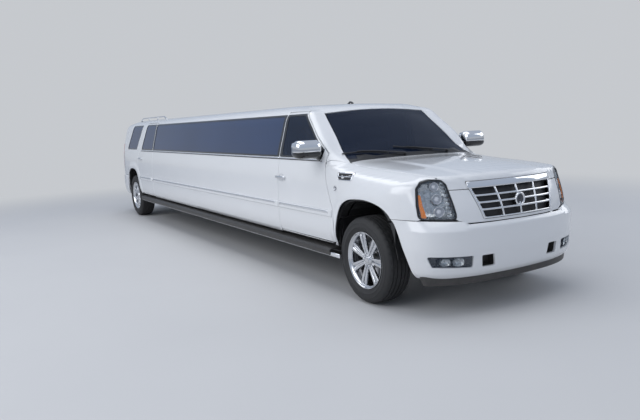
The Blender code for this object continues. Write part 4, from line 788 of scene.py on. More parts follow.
DISC_FACE = shader("dark_disc_face", (0.10, 0.105, 0.12), 0.22, metal=0.9, vary=0.25, scale=60,
                   rough_vary=0.06, bump=0.3,
                   bump_scale=200)
LENS_WHITE = shader("reverse_lens", (0.80, 0.80, 0.82), 0.08, vary=0.05, scale=60, rough_vary=0.03,
                    bump=0.6, bump_scale=120)
BULB = shader("lamp_bulb", (0.86, 0.88, 0.92), 0.05, vary=0.05, scale=30, rough_vary=0.03, coat=1.0)
MESH_BLACK = shader("black_mesh", (0.014, 0.014, 0.016), 0.5, vary=0.3, scale=90, bump=1.0, bump_scale=120)
BADGE = shader("bare_disc", (0.55, 0.56, 0.58), 0.24, metal=0.9, vary=0.08, scale=40, bump=0.3,
               bump_scale=300)
CARPET = shader("cabin_lining", (0.055, 0.052, 0.050), 0.85, vary=0.25, scale=60, bump=1.0, bump_scale=500)

LOOKS = {
    "chassis_frame": CHASSIS, "front_suspension": CHASSIS, "rear_axle": CHASSIS, "engine_block": ALLOY,
    "radiator": BLACK_PLASTIC,
    "fuel_tank": BLACK_PLASTIC, "exhaust": STEEL, "knuckle_left": IRON, "knuckle_right": IRON,
    "grille": CHROME,
    "dashboard": BLACK_PLASTIC, "steering_wheel": LEATHER, "partition": BLACK_PLASTIC, "lounge_seat": LEATHER,
    "seat_front_left": LEATHER, "seat_front_right": LEATHER, "windscreen": CLEAR_GLASS,
}
for title, node in NODES.items():
    if title in LOOKS:
        look = LOOKS[title]
    elif title.startswith("glass_door_front"):
        look = CLEAR_GLASS
    elif title.startswith("glass"):
        look = DARK_GLASS
    elif title.startswith(("rim", "mirror", "roof_rail")):
        look = CHROME
    elif title.startswith("tyre"):
        look = TYRE
    elif title.startswith("headlamp"):
        look = LENS
    elif title.startswith("tail_lamp"):
        look = RED_LENS
    elif title.startswith("running_board"):
        look = BLACK_PLASTIC
    else:
        look = PAINT
    for index in range(max(1, len(node.material_slots))):
        if not node.material_slots:
            node.data.materials.append(look)
        node.material_slots[index].material = look


def put(obj, body, slot=None, material=None, stands_for=()):
    """Gives a piece its body and materials and hides the nodes that it stands for. The slot argument is not used."""
    if material is not None:
        obj.data.materials.clear()
        for each in (material if isinstance(material, (list, tuple)) else [material]):
            obj.data.materials.append(each)
    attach(obj, body)
    if stands_for:
        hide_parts(*stands_for)
    return obj


# Body nodes sit back under their skins: white where a door or lid shows them, black in the arches, lined inside
def inner_material():
    mat = shader("body_inside", (0.72, 0.73, 0.74), 0.35, vary=0.03, scale=12, bump=0.2, bump_scale=260)
    tree = mat.node_tree
    link = tree.links.new
    out = tree.nodes["Principled BSDF"]
    white = out.inputs["Base Color"].links[0].from_socket
    place = tree.nodes.new("ShaderNodeTexCoord")
    axis = tree.nodes.new("ShaderNodeSeparateXYZ")
    link(place.outputs["Object"], axis.inputs["Vector"])

    def math_node(operation, a, b):
        node = tree.nodes.new("ShaderNodeMath")
        node.operation = operation
        for socket, value in zip(node.inputs, (a, b)):
            if isinstance(value, (int, float)):
                socket.default_value = value
            else:
                link(value, socket)
        return node.outputs["Value"]

    near = []
    for centre, half in ((FRONT - 0.04, 0.62), (REAR, 0.50)):
        far = math_node("ABSOLUTE", math_node("SUBTRACT", axis.outputs["Y"], centre), 0)
        near.append(math_node("MULTIPLY", math_node("LESS_THAN", far, half),
                              math_node("LESS_THAN", axis.outputs["Z"], 1.0)))
    arches = math_node("MAXIMUM", near[0], near[1])
    below = math_node("LESS_THAN", axis.outputs["Z"], 0.475)
    lined = math_node("LESS_THAN", math_node("ABSOLUTE", axis.outputs["X"], 0), 0.775)
    behind = math_node("GREATER_THAN", axis.outputs["Y"], front(0.438))
    black = math_node("MAXIMUM", math_node("MAXIMUM", arches, below), math_node("MULTIPLY", lined, behind))
    mix = tree.nodes.new("ShaderNodeMix")
    mix.data_type = "RGBA"
    link(black, mix.inputs["Factor"])
    link(white, mix.inputs["A"])
    mix.inputs["B"].default_value = (0.020, 0.020, 0.021, 1)
    link(mix.outputs["Result"], out.inputs["Base Color"])
    return mat


INNER = inner_material()
UNDER_SKIN = ("front_structure", "roof_panel", "body_side_left", "body_side_right", "fender_left",
              "fender_right",
              "door_front_left", "door_front_right", "door_rear_left", "door_rear_right")
for title in UNDER_SKIN:
    joined_up = NODES[title].modifiers.new("joined_up", "WELD")
    joined_up.merge_threshold = 0.0001
    step_back = NODES[title].modifiers.new("under_skin", "DISPLACE")
    step_back.strength = -0.020
    step_back.mid_level = 0.0
    for slot in NODES[title].material_slots:
        slot.material = INNER
for title in ("floor_pan", "dashboard"):
    for slot in NODES[title].material_slots:
        slot.material = CARPET if title == "floor_pan" else BLACK_PLASTIC


def skins(name, layout, loops, step, nodes, body="body", material=PAINT, slot="white_paint", whole=False,
          **options):
    """Panels for one or both sides. body and nodes may hold {side} for left or right."""
    made = panel(name, layout, loops, step, sides=("whole",) if whole else ("left", "right"), **options)
    for side, obj in made.items():
        stands_for = [node.format(side=side) for node in nodes]
        put(obj, body.format(side=side), slot, material, stands_for)
        pieces[obj.name] = obj
    return made


HALF_SHUT = SHUT / 2
front_skin = np.array(grown([tuple(q) for q in front_door], -HALF_SHUT))
rear_skin = np.array(grown([tuple(q) for q in rear_door], -HALF_SHUT))
TOP_SEAM = 1.8060
PAINT_STEP = (0.03, 0.03)

# Fenders
skins("fender_skin", FENDER_VIEW, [fender_loop], (0.02, 0.02), [], depth=0.009)

# Bonnet
edge_line = fine([(x, front(d)) for x, d in reversed(BONNET_EDGE)], 0.03)
edge_line[0] = (0.797, front(0.4365))
lamp_inner = stretch_of(lamp_room, (0.7165, 1.170), (0.653, 1.0795))
grille_room = np.array(grown(rounded(GRILLE, 0.012), 0.0035))
grille_top = max(grille_room[:, 1])
grille_side = 0.405 + 0.095 * (1.078 - 0.828) / 0.308 + 0.0037
bonnet_half = np.vstack([
    from_top(fine([(0.0, front(0.4370)), (0.797, front(0.4370))], 0.03)),
    from_top(edge_line)[1:],
    from_front(fine(lamp_inner, 0.02)),
    from_front(fine([(lamp_inner[-1][0] - 0.0002, 1.0780), (grille_side, 1.0780)], 0.02)),
    from_front(fine([(grille_side, 1.0780), (0.502, grille_top - 0.008), (0.496, grille_top)], 0.02))[1:],
    from_front(fine([(0.496, grille_top), (0.0, grille_top)], 0.03))[1:],
])
skins("bonnet_skin", NOSE_VIEW, [thinned(mirrored_loop(bonnet_half), 0.003)], (0.02, 0.02), ["bonnet"],
      body="bonnet_lid",
      whole=True, depth=0.022)

# Strip between the bumper, the lamps and the grille
lamp_foot = stretch_of(lamp_room, (0.634, 0.8290), (0.655, 1.0710))
grille_foot = 0.405 + 0.0037
fascia_half = np.vstack([
    from_front(fine([(0.0, SPLIT + 0.0025), (0.560, SPLIT + 0.0025), (0.606, 0.8210), (0.622, 0.8235)],
                    0.03)),
    from_front(lamp_foot),
    from_front(fine([(lamp_foot[-1][0] - 0.0003, 1.0725), (grille_side - 0.0015, 1.0725)], 0.02))[1:],
    from_front(fine([(grille_side - 0.0015, 1.0725), (grille_foot, 0.8300),
                     (grille_foot - 0.006, 0.8243)], 0.02))[1:],
    from_front(fine([(grille_foot - 0.006, 0.8243), (0.0, 0.8243)], 0.03))[1:],
])
skins("nose_strip", NOSE_VIEW, [thinned(mirrored_loop(fascia_half), 0.003)], (0.02, 0.02), [], whole=True)

# Doors
window_front = from_side(window(WINDOW_FRONT, 0.045))
window_rear = from_side(window(WINDOW_REAR, 0.045))
window_side = from_side(fine(rounded(WINDOW_SIDE, 0.030), 0.04, True))
window_quarter = from_side(window(WINDOW_QUARTER, 0.040))
skins("front_door_skin", TUBE, [from_side(front_skin), window_front], PAINT_STEP, [],
      body="front_{side}_door")
skins("rear_door_skin", TUBE, [from_side(rear_skin), window_rear], PAINT_STEP, [], body="rear_{side}_door")

# Body side between the doors
front_room = np.array(grown([tuple(q) for q in front_door], HALF_SHUT))
rear_room = np.array(grown([tuple(q) for q in rear_door], HALF_SHUT))
seam_free = lambda q: np.abs(q[:, 2] - TOP_SEAM) < 1e-4
behind_door = sliced(front_room, lambda q: (q[:, 0] > front(1.60)) & (q[:, 1] > 0.53) & (q[:, 1] < 1.75), 1)
ahead_of_door = sliced(rear_room, lambda q: (q[:, 0] < rear(-1.31)) & (q[:, 1] > 0.53) & (q[:, 1] < 1.75), 1)
side_loop = thinned(np.vstack([
    from_side(fine([(behind_door[0][0], SILL + 0.002), *behind_door, (front(1.6345), TOP_SEAM)], 0.03)),
    from_side(fine([(front(1.6345), TOP_SEAM), (rear(-1.338), TOP_SEAM)], 0.05))[1:],
    from_side(fine([(rear(-1.338), TOP_SEAM), *ahead_of_door[::-1], (ahead_of_door[0][0], SILL + 0.002)],
                   0.03))[1:],
    from_side(fine([(ahead_of_door[0][0], SILL + 0.002), (behind_door[0][0], SILL + 0.002)], 0.05))[1:-1],
]), 0.004)
skins("body_side_skin", TUBE, [side_loop, window_side], (0.05, 0.03), [], free=seam_free)

# Rear quarters
arch_rear = arch_curve(*ARCHES[1])
arch_rear = arch_rear[(arch_rear[:, 1] > SILL) & ((arch_rear[:, 0] < REAR) | (arch_rear[:,
        1] > SPLIT + 0.012))][::-1]
door_back = sliced(rear_room, lambda q: (q[:, 0] > rear(-0.72)) & (q[:, 1] > 0.53) & (q[:, 1] < 1.75),
                   1)[::-1]
gate_line = fine([(0.775 + HALF_SHUT, 0.810), (0.775 + HALF_SHUT, 1.250), (0.730 + HALF_SHUT, 1.560),
                  (0.6215 + HALF_SHUT, 1.780),
                  (0.6190 + HALF_SHUT, TOP_SEAM)], 0.03)
corner_low = along_z(SPLIT + 0.0035, from_side([(rear(0.55), SPLIT + 0.0035)])[0],
                     from_rear([(0.775 + HALF_SHUT, SPLIT + 0.0035)])[0],
                     rear(0.0), 24)
gate_points = from_rear(gate_line)
seam_line = from_side(fine([(rear(0.86), TOP_SEAM), (rear(-0.683), TOP_SEAM)], 0.04))
quarter_loop = thinned(np.vstack([
    from_side(fine([(rear(-0.683), TOP_SEAM), *door_back, (door_back[-1][0], SILL + 0.002)], 0.03)),
    from_side(arch_rear),
    from_side(fine([(arch_rear[-1][0], SPLIT + 0.0035), (rear(0.55), SPLIT + 0.0035)], 0.03)),
    corner_low[1:],
    gate_points[1:],
    seam_line[:-1],
]), 0.004)
LAMP_R = rear(0.780)
lamp_back = from_rear(fine(rounded([(1.2, 0.930), (0.800, 0.930), (0.800, 1.300), (0.862, 1.430),
                                    (1.2, 1.430)], 0.02)[6:-6], 0.02))
lamp_back = lamp_back[lamp_back[:, 0] < 0.90]
lamp_edge = from_side(fine([(LAMP_R, 1.430), (LAMP_R, 0.930)], 0.02))
lamp_loop = thinned(np.vstack([
    lamp_back,
    along_z(1.430, lamp_back[-1], lamp_edge[0], rear(0.3), 10)[1:],
    lamp_edge[1:],
    along_z(0.930, lamp_edge[-1], lamp_back[0], rear(0.3), 10)[1:-1],
]), 0.003)
skins("rear_quarter_skin", CORNER_VIEW, [quarter_loop, window_quarter, lamp_loop], (0.015, 0.015), [],
      free=seam_free)

# Roof with the windscreen pillars
screen_line = fine([(x, front(d)) for x,
                    d in [(0.0, 1.091), (0.40, 1.101), (0.667, 1.121), (0.7265, 0.800), (0.7790, 0.545),
                          (0.7850, 0.500)]], 0.03)
pillar_down = sliced(front_room, lambda q: (q[:, 0] < front(1.20)) & (q[:, 1] > 1.300) & (q[:,
        1] < TOP_SEAM - 0.003), 1)
seam_out = [(x - 0.0034, y + 0.0026) for x, y in PILLAR_SEAM]
roof_half = np.vstack([
    from_top(screen_line),
    from_top(fine([(0.7850, front(0.500)), (0.800, front(0.4500))], 0.03))[1:],
    from_top(fine(seam_out[::-1], 0.02)),
    from_side(fine(pillar_down, 0.03)),
    from_side(fine([(front(1.205), TOP_SEAM), (rear(0.86), TOP_SEAM)], 0.04)),
    from_rear([(0.6190 + HALF_SHUT, TOP_SEAM), (0.6190 + HALF_SHUT, 1.820)]),
    from_top(fine([(0.6180 + HALF_SHUT, GATE_HINGE - 0.0030), (0.0, GATE_HINGE - 0.0030)], 0.03)),
])
skins("roof_skin", TUBE, [thinned(mirrored_loop(roof_half), 0.004)], (0.05, 0.03), [], whole=True,
      free=seam_free,
      dense=lambda p: (p[:, 1] < front(1.26)) & (np.abs(p[:, 0]) > 0.60))

# Liftgate
gate_half = np.vstack([
    from_rear(fine([(0.0, 0.8230), (0.7722, 0.8230), (0.7722, 1.250), (0.7275, 1.560), (0.6185, 1.780),
                    (0.6150, 1.822)], 0.03)),
    from_top(fine([(0.6140, GATE_HINGE + 0.0030), (0.0, GATE_HINGE + 0.0030)], 0.03)),
])
gate_hole = from_rear(fine(rounded(GATE_WINDOW, 0.045), 0.03, True))
skins("liftgate_skin", TAIL_VIEW, [thinned(mirrored_loop(gate_half), 0.004), gate_hole], (0.02, 0.02),
      ["liftgate"], body="tail_lid",
      whole=True, depth=0.028)


# Builders for trim
def add_twin(name, verts, faces, body="body", slot=None, material=None, nodes=()):
    """A piece on the left side and its mirror image on the right. body and nodes may hold {side}."""
    verts = np.asarray(verts, float)
    made = []
    for side, sign in (("left", 1), ("right", -1)):
        turned = faces if sign > 0 else [tuple(reversed(f)) for f in faces]
        obj = add_mesh(f"{name}_{side}", verts * np.array([sign, 1, 1]), turned)
        made.append(put(obj, body.format(side=side), slot, material,
                        [node.format(side=side) for node in nodes]))
    return made


def joined(parts):
    # several (verts, faces) as one
    verts, faces, base = [], [], 0
    for some, more in parts:
        verts.append(np.asarray(some, float))
        faces += [tuple(i + base for i in f) for f in more]
        base += len(some)
    return np.vstack(verts), faces


def strip(path, normal, half_width, half_height, lift=0.0, power=4.0, around=14, rounding=0.6):
    """A bar along a path: width across it, height along the normal, ends rounded over."""
    path = np.asarray(path, float)
    normal = np.broadcast_to(np.asarray(normal, float), path.shape)
    along = np.gradient(path, axis=0)
    along /= np.linalg.norm(along, axis=1)[:, None]
    across = np.cross(normal, along)
    across /= np.linalg.norm(across, axis=1)[:, None]
    up = np.cross(along, across)
    a = np.linspace(0, 2 * math.pi, around, endpoint=False) + math.pi / around
    c, s = np.cos(a), np.sin(a)
    wide = np.sign(c) * np.abs(c) ** (2 / power)
    high = np.sign(s) * np.abs(s) ** (2 / power)
    half_width = np.broadcast_to(half_width, len(path))
    half_height = np.broadcast_to(half_height, len(path))
    middle = path + up * lift
    rings = []
    tip = min(half_width[0], half_height[0]) * rounding
    for i, q in enumerate(middle):
        rings.append((q, i, 1.0))
    rings.insert(0, (middle[0] - along[0] * tip, 0, 0.55))
    rings.append((middle[-1] + along[-1] * tip, len(path) - 1, 0.55))
    verts = []
    for q, i, size in rings:
        verts.append(q + size * (across[i] * (wide * half_width[i])[:,
                None] + up[i] * (high * half_height[i])[:, None]))
    verts = np.vstack(verts)
    faces = []
    for k in range(len(rings) - 1):
        for j in range(around):
            m = (j + 1) % around
            faces.append((k * around + j, (k + 1) * around + j, (k + 1) * around + m, k * around + m))
    faces.append(tuple(range(around)))
    faces.append(tuple(reversed(range((len(rings) - 1) * around, len(rings) * around))))
    return verts, faces


def dish(rim, way, profile, flip=False):
    """A bowl inside a closed line: profile holds (share of the rim's size, depth along the way)."""
    rim = np.asarray(rim, float)
    middle = rim.mean(0)
    way = np.asarray(way, float) / np.linalg.norm(way)
    count = len(rim)
    verts = [middle + (rim - middle) * size + way * depth for size, depth in profile if size > 0]
    rings = len(verts)
    verts = np.vstack(verts + [middle + way * profile[-1][1]])
    faces = []
    for k in range(rings - 1):
        for j in range(count):
            m = (j + 1) % count
            faces.append((k * count + j, k * count + m, (k + 1) * count + m, (k + 1) * count + j))
    for j in range(count):
        faces.append(((rings - 1) * count + j, (rings - 1) * count + (j + 1) % count, rings * count))
    normal = np.cross(rim[1] - rim[0], middle - rim[0])
    if (normal @ way > 0) != flip:
        faces = [tuple(reversed(f)) for f in faces]
    return verts, faces


def circle(middle, way, radius, count=28, other=None):
    # a round line about a point, square to the way; other is the second radius, along the vertical
    way = np.asarray(way, float) / np.linalg.norm(way)
    side = np.cross([0, 0, 1.0], way)
    side = side / np.linalg.norm(side)
    up = np.cross(way, side)
    a = np.linspace(0, 2 * math.pi, count, endpoint=False)
    return np.asarray(middle) + radius * np.cos(a)[:, None] * side + (other or radius) * np.sin(a)[:,
            None] * up


def turned(profile, count=64, flip=False):
    """A profile of (radius, height) turned about +Z; the surface faces left of the way that it runs."""
    profile = np.asarray(profile, float)
    a = np.linspace(0, 2 * math.pi, count, endpoint=False)
    verts = np.vstack([np.stack([r * np.cos(a), r * np.sin(a), np.full(count, h)], 1) for r, h in profile])
    faces = []
    for k in range(len(profile) - 1):
        for j in range(count):
            m = (j + 1) % count
            face = (k * count + j, k * count + m, (k + 1) * count + m, (k + 1) * count + j)
            faces.append(tuple(reversed(face)) if flip else face)
    return verts, faces


def creased(obj, angle=35):
    # sharp edges stay sharp under smooth shading
    obj.data.set_sharp_from_angle(angle=math.radians(angle))
    return obj


def shrunk(loop, amount):
    # a line in space drawn in towards its own middle
    middle = loop.mean(0)
    away = loop - middle
    return loop - away / np.linalg.norm(away, axis=1)[:, None] * amount


class Sweep:
    """A bumper: a plan curve with a profile. Laid out as distance round the plan and height."""
    def __init__(self, half, origin_y, way, profile):
        points = [(-x, origin_y + way * reach) for x, reach in reversed(half[1:])]
        points += [(x, origin_y + way * reach) for x, reach in half]
        line = spline(points, 16)
        along = np.gradient(line, axis=0)
        along /= np.linalg.norm(along, axis=1)[:, None]
        length = np.concatenate([[0], np.cumsum(np.linalg.norm(np.diff(line, axis=0), axis=1))])
        self.length = length - length[-1] / 2
        self.end = self.length[-1]
        self.line = line
        self.out = np.stack([along[:, 1], -along[:, 0]], 1) * -way
        self.profile = profile

    def flat(self, p):
        return np.asarray(p, float)[:, :2]

    def place(self, q):
        at = [np.interp(q[:, 0], self.length, column) for column in (self.line[:, 0], self.line[:, 1])]
        out = np.stack([np.interp(q[:, 0], self.length, self.out[:, k]) for k in (0, 1)], 1)
        out /= np.linalg.norm(out, axis=1)[:, None]
        reach = self.profile(q[:, 1], np.abs(at[0]))
        return np.stack([at[0] + out[:, 0] * reach, at[1] + out[:, 1] * reach, q[:, 1]], 1), out

    def at(self, q):
        h = 0.002
        p, out = self.place(q)
        one = self.place(q + [h, 0])[0] - self.place(q - [h, 0])[0]
        two = self.place(q + [0, h])[0] - self.place(q - [0, h])[0]
        n = np.cross(one, two)
        n /= np.linalg.norm(n, axis=1)[:, None]
        back = (n[:, :2] * out).sum(1) < 0
        n[back] *= -1
        return p, n

    def seen(self, points):
        # from a front or rear view: x and height to distance and height
        p = np.asarray(points, float)
        return np.stack([np.interp(p[:, 0], self.line[:, 0] * (1 if self.line[-1, 0] > 0 else -1),
                                   self.length), p[:, 1]], 1)


# Front bumper: its top slopes back to the body, under the lamps up to their lower edge
FRONT_PLAN = [(0.0, 1.0085), (0.25, 1.000), (0.50, 0.970), (0.72, 0.903), (0.87, 0.803), (0.945, 0.688),
              (0.985, 0.4950), (0.989, 0.4320)]
PLAN = Sweep(FRONT_PLAN, FRONT, -1, None)
RIDGE_Z, SHELF_Z = 0.748, 0.836
plan_s = np.linspace(0, PLAN.end, 50)
plan_at = np.stack([np.interp(plan_s, PLAN.length, PLAN.line[:, k]) for k in (0, 1)], 1)
plan_out = np.stack([np.interp(plan_s, PLAN.length, PLAN.out[:, k]) for k in (0, 1)], 1)
plan_out /= np.linalg.norm(plan_out, axis=1)[:, None]
plan_from = np.column_stack([plan_at - plan_out * 0.35, np.full(50, SHELF_Z)])
shelf_reach = np.linalg.norm(solve(plan_from, np.column_stack([plan_out, np.zeros(50)])) - plan_from,
                             axis=1) - 0.35
shelf_x = np.abs(plan_at[:, 0])


def front_profile(z, x):
    face = smooth([0.330, 0.362, 0.400, 0.500, 0.620, 0.740], [-0.090, -0.052, -0.026, -0.011, 0.0, 0.0])(z)
    corner = bump(x, 0.560, 0.640)
    ledge = smooth([0.745, 0.768, 0.784, 0.7975], [0.0, -0.003, -0.013, -0.032])(np.minimum(z, 0.7975))
    share = np.clip((z - RIDGE_Z) / (SHELF_Z - RIDGE_Z), 0, 1)
    slope = (0.35 * share**2 + 0.65 * share) * (np.interp(x, shelf_x, shelf_reach) - 0.001) * bump(share,
            0.0, 0.10)
    return np.where(z < 0.74, face, ledge * (1 - corner) + slope * corner)


NOSE_BUMPER = Sweep(FRONT_PLAN, FRONT, -1, front_profile)
FOG = [(0.545, 0.432), (0.868, 0.450), (0.898, 0.543), (0.540, 0.533)]
DUCT = [(0.318, 0.427), (0.452, 0.427), (0.461, 0.529), (0.336, 0.529)]


def bumper_loop(sweep, low, high, slant, gap=0.010):
    # the outline, lower at the middle and cut back towards the wheel
    half = fine([(0.0, high), (sweep.end - gap, high), (sweep.end - gap - slant, low), (0.0, low)], 0.03)
    return thinned(np.vstack([half, half[::-1] * [-1, 1]]), 0.003)


fog_line = NOSE_BUMPER.seen(fine(rounded(FOG, 0.016), 0.015, True))
duct_line = NOSE_BUMPER.seen(fine(rounded(DUCT, 0.014), 0.015, True))
flip_s = np.array([-1, 1])
nose_top = NOSE_BUMPER.seen([(0.0, 0.7975), (0.562, 0.7975), (0.608, 0.8185), (0.640, 0.8230),
                             (0.900, 0.8345), (0.950, 0.8345)])
nose_end = NOSE_BUMPER.end - 0.004
nose_half = fine(np.vstack([nose_top, [(nose_end - 0.002, 0.8345), (nose_end - 0.034, 0.798),
                                       (nose_end - 0.082, 0.700),
                                       (nose_end - 0.140, 0.560), (nose_end - 0.194, 0.420),
                                       (nose_end - 0.222, 0.345), (0.0, 0.345)]]), 0.02)
skins("front_bumper_skin", NOSE_BUMPER,
      [thinned(np.vstack([nose_half, nose_half[::-1] * [-1, 1]]), 0.003), fog_line, fog_line * flip_s,
       duct_line, duct_line * flip_s],
      (0.025, 0.02), ["front_bumper"], whole=True, depth=0.022, edge=0.004)
AIR_DAM = Sweep([(x, reach - 0.075) for x, reach in FRONT_PLAN[:-3]] + [(0.905, 0.640)], FRONT, -1,
                lambda z, x: 0.10 * (z - 0.37))
skins("air_dam", AIR_DAM, [bumper_loop(AIR_DAM, 0.285, 0.392, 0.05, 0.02)], (0.03, 0.03), [],
      material=BLACK_PLASTIC,
      slot="black_plastic", whole=True, depth=0.006)


def pocket(name, sweep, line, profile, material, slot):
    # a recess behind an opening in a bumper
    p, n = sweep.at(line)
    way = -n.mean(0)
    verts, faces = dish(p - n * 0.006, way, profile)
    return creased(put(add_mesh(name, verts, faces), "body", slot, material))


for side, sign in (("left", 1), ("right", -1)):
    way_s = np.array([sign, 1])
    grown_fog = np.array(grown([tuple(q) for q in fog_line * way_s], 0.004))
    grown_duct = np.array(grown([tuple(q) for q in duct_line * way_s], 0.004))
    pocket(f"fog_bucket_{side}", NOSE_BUMPER, grown_fog,
           [(1.0, 0.0), (1.0, 0.034), (0.9, 0.042), (0.0, 0.042)], GLOSS_BLACK, "black_plastic")
    pocket(f"duct_{side}", NOSE_BUMPER, grown_duct,
           [(1.0, 0.0), (0.98, 0.075), (0.9, 0.085), (0.0, 0.085)], BLACK_PLASTIC, "black_plastic")
    p, n = NOSE_BUMPER.at(grown_fog)
    middle, out = p.mean(0), n.mean(0) / np.linalg.norm(n.mean(0))
    outward = np.cross(out, [0, 0, 1.0])
    outward *= math.copysign(1, outward[0] * sign)
    parts = []
    for shift, radius in ((0.062, 0.036), (-0.052, 0.040)):
        centre = middle + outward * shift - out * 0.010
        parts.append(dish(circle(centre, out, radius * 1.25, 32, radius), -out,
                          [(1.0, -0.004), (1.04, 0.0), (0.97, 0.001), (0.85, 0.010), (0.6, 0.020),
                           (0.3, 0.026), (0.12, 0.026), (0.10, 0.008), (0.0, 0.005)]))
    verts, faces = joined(parts)
    pieces[f"fog_{side}"] = put(add_mesh(f"fog_lamp_{side}", verts, faces), "body", "chrome", REFLECTOR)
skins("fog_lens", NOSE_BUMPER, [fog_line], (0.03, 0.03), [], material=LENS, slot="lamp_lens", depth=0.003,
      inset=0.006)

# Headlamps
LAMP_VIEW = Ball((0.48, front(-0.38), 1.00), (0.70, -0.70, 0.05))
lamp_edge_line = thinned(from_front(lamp_line), 0.003)
lamp_inside = thinned(from_front(np.array(grown([tuple(q) for q in lamp_line], -0.011))), 0.003)
skins("headlamp_lens", LAMP_VIEW, [lamp_edge_line], (0.02, 0.02), ["headlamp_{side}"], material=LENS,
      slot="lamp_lens",
      depth=0.003, inset=0.001)
skins("headlamp_gasket", LAMP_VIEW, [lamp_edge_line, lamp_inside], (0.02, 0.02), [], material=GLOSS_BLACK,
      slot="black_plastic", depth=0.012, inset=-0.0012, edge=0.001)
rim_points = thinned(from_front(np.array(grown([tuple(q) for q in lamp_line], -0.009))), 0.003)
rim_points = rim_points - normals(rim_points) * 0.012
inward = np.array([-0.45, 0.89, 0.0])
creased(add_twin("headlamp_bucket",
                 *dish(rim_points, inward,
                       [(1.0, 0.0), (0.93, 0.035), (0.86, 0.050), (0.50, 0.058), (0.0, 0.060)]),
                 slot="chrome", material=REFLECTOR)[0], 40)
AMBER_LINE = [(0.884, 0.858), (0.886, 0.960), (0.874, 1.050), (0.859, 1.046), (0.862, 0.960), (0.848, 0.856)]
skins("headlamp_indicator", LAMP_VIEW,
      [thinned(from_front(fine(rounded(AMBER_LINE, 0.012), 0.012, True)), 0.003)], (0.015, 0.015), [],
      material=AMBER, slot="lamp_lens", depth=0.010, inset=0.0075)
parts, centres = [], []
for x, z, radius in ((0.748, 1.105, 0.040), (0.752, 1.005, 0.043), (0.754, 0.902, 0.045)):
    centre = from_front([(x, z)])[0] + inward * 0.028
    out = -inward
    parts.append(dish(circle(centre, out, radius, 36), inward,
                      [(1.0, 0.012), (1.0, -0.004), (0.94, -0.006), (0.90, 0.0), (0.78, 0.012),
                       (0.55, 0.022), (0.40, 0.026), (0.0, 0.028)]))
    centres.append((centre, radius))
add_twin("headlamp_bowls", *joined(parts), slot="chrome", material=CHROME)
parts = []
for centre, radius in centres:
    parts.append(dish(circle(centre + inward * 0.018, -inward, radius * 0.52, 28), inward,
                      [(1.0, 0.006), (1.0, 0.0), (0.85, -0.010), (0.55, -0.016), (0.25, -0.019),
                       (0.0, -0.0195)]))
add_twin("headlamp_bulbs", *joined(parts), slot="lamp_lens", material=BULB)
parts = []
for k in range(9):
    z = 0.862 + k * 0.034
    line = from_front(fine([(0.668 + 0.010 * (z - 0.83) / 0.3, z), (0.702, z)], 0.010)) + inward * 0.024
    parts.append(strip(line, -inward, 0.012, 0.006, power=2.5, around=10))
add_twin("headlamp_flutes", *joined(parts), slot="chrome", material=REFLECTOR)

# Grille
def nose_bar(points, half_width, half_height, lift):
    line = from_front(fine(points, 0.03))
    return strip(line, normals(line), half_width, half_height, lift)


def grille_half(z):
    return 0.405 + 0.095 * (z - 0.828) / 0.308


low_z, high_z = 0.828 + 0.016, 1.136 - 0.061
parts = [nose_bar([(-grille_half(1.105), 1.105), (0.0, 1.107), (grille_half(1.105), 1.105)], 0.0300,
                  0.010, 0.003),
         nose_bar([(-0.400, 0.8345), (0.400, 0.8345)], 0.0065, 0.008, 0.002)]
for sign in (1, -1):
    parts.append(nose_bar([(sign * (grille_half(0.832) - 0.007), 0.832),
                           (sign * (grille_half(1.128) - 0.007), 1.128)], 0.0090, 0.009, 0.002))
rows, columns = 4, 4
for k in range(1, rows):
    z = low_z + (high_z - low_z) * k / rows
    parts.append(nose_bar([(-grille_half(z) + 0.010, z), (grille_half(z) - 0.010, z)], 0.0085, 0.0090,
                          -0.001))
for k in range(1, columns):
    share = 2 * k / columns - 1
    parts.append(nose_bar([(share * (grille_half(low_z) - 0.014), low_z - 0.004),
                           (share * (grille_half(high_z) - 0.014), high_z + 0.004)],
                          0.0095, 0.0090, -0.002))
verts, faces = joined(parts)
put(add_mesh("grille_bars", verts, faces), "body", "chrome", CHROME, ["grille"])
grille_back = [(x, z) for x,
               z in rounded([(-0.403, 0.830), (0.403, 0.830), (0.498, 1.134), (-0.498, 1.134)], 0.012)]
skins("grille_mesh", NOSE_VIEW, [thinned(from_front(fine(grille_back, 0.03, True)), 0.004)], (0.03, 0.03),
      [], material=MESH_BLACK,
      slot="black_plastic", whole=True, inset=0.034, depth=0.006)
badge = from_front([(0.0, 0.956)])[0]
facing = np.array([[1, 0, 0], [0, 0, 1], [0, -1, 0]])
verts, faces = turned([(0.0, 0.006), (0.0425, 0.006), (0.0440, 0.014), (0.0475, 0.017), (0.0545, 0.016),
                       (0.0580, 0.010), (0.056, -0.022),
                       (0.0, -0.022)], 56, True)
put(add_mesh("grille_disc", verts @ facing + badge + [0, -0.004, 0], faces), "body", "chrome", CHROME)
verts, faces = turned([(0.0, 0.0125), (0.020, 0.0122), (0.024, 0.0105), (0.038, 0.0100), (0.0428, 0.0080),
                       (0.0428, 0.0)], 56, True)
put(add_mesh("grille_disc_face", verts @ facing + badge + [0, -0.004, 0], faces), "body", "chrome", DISC_FACE)

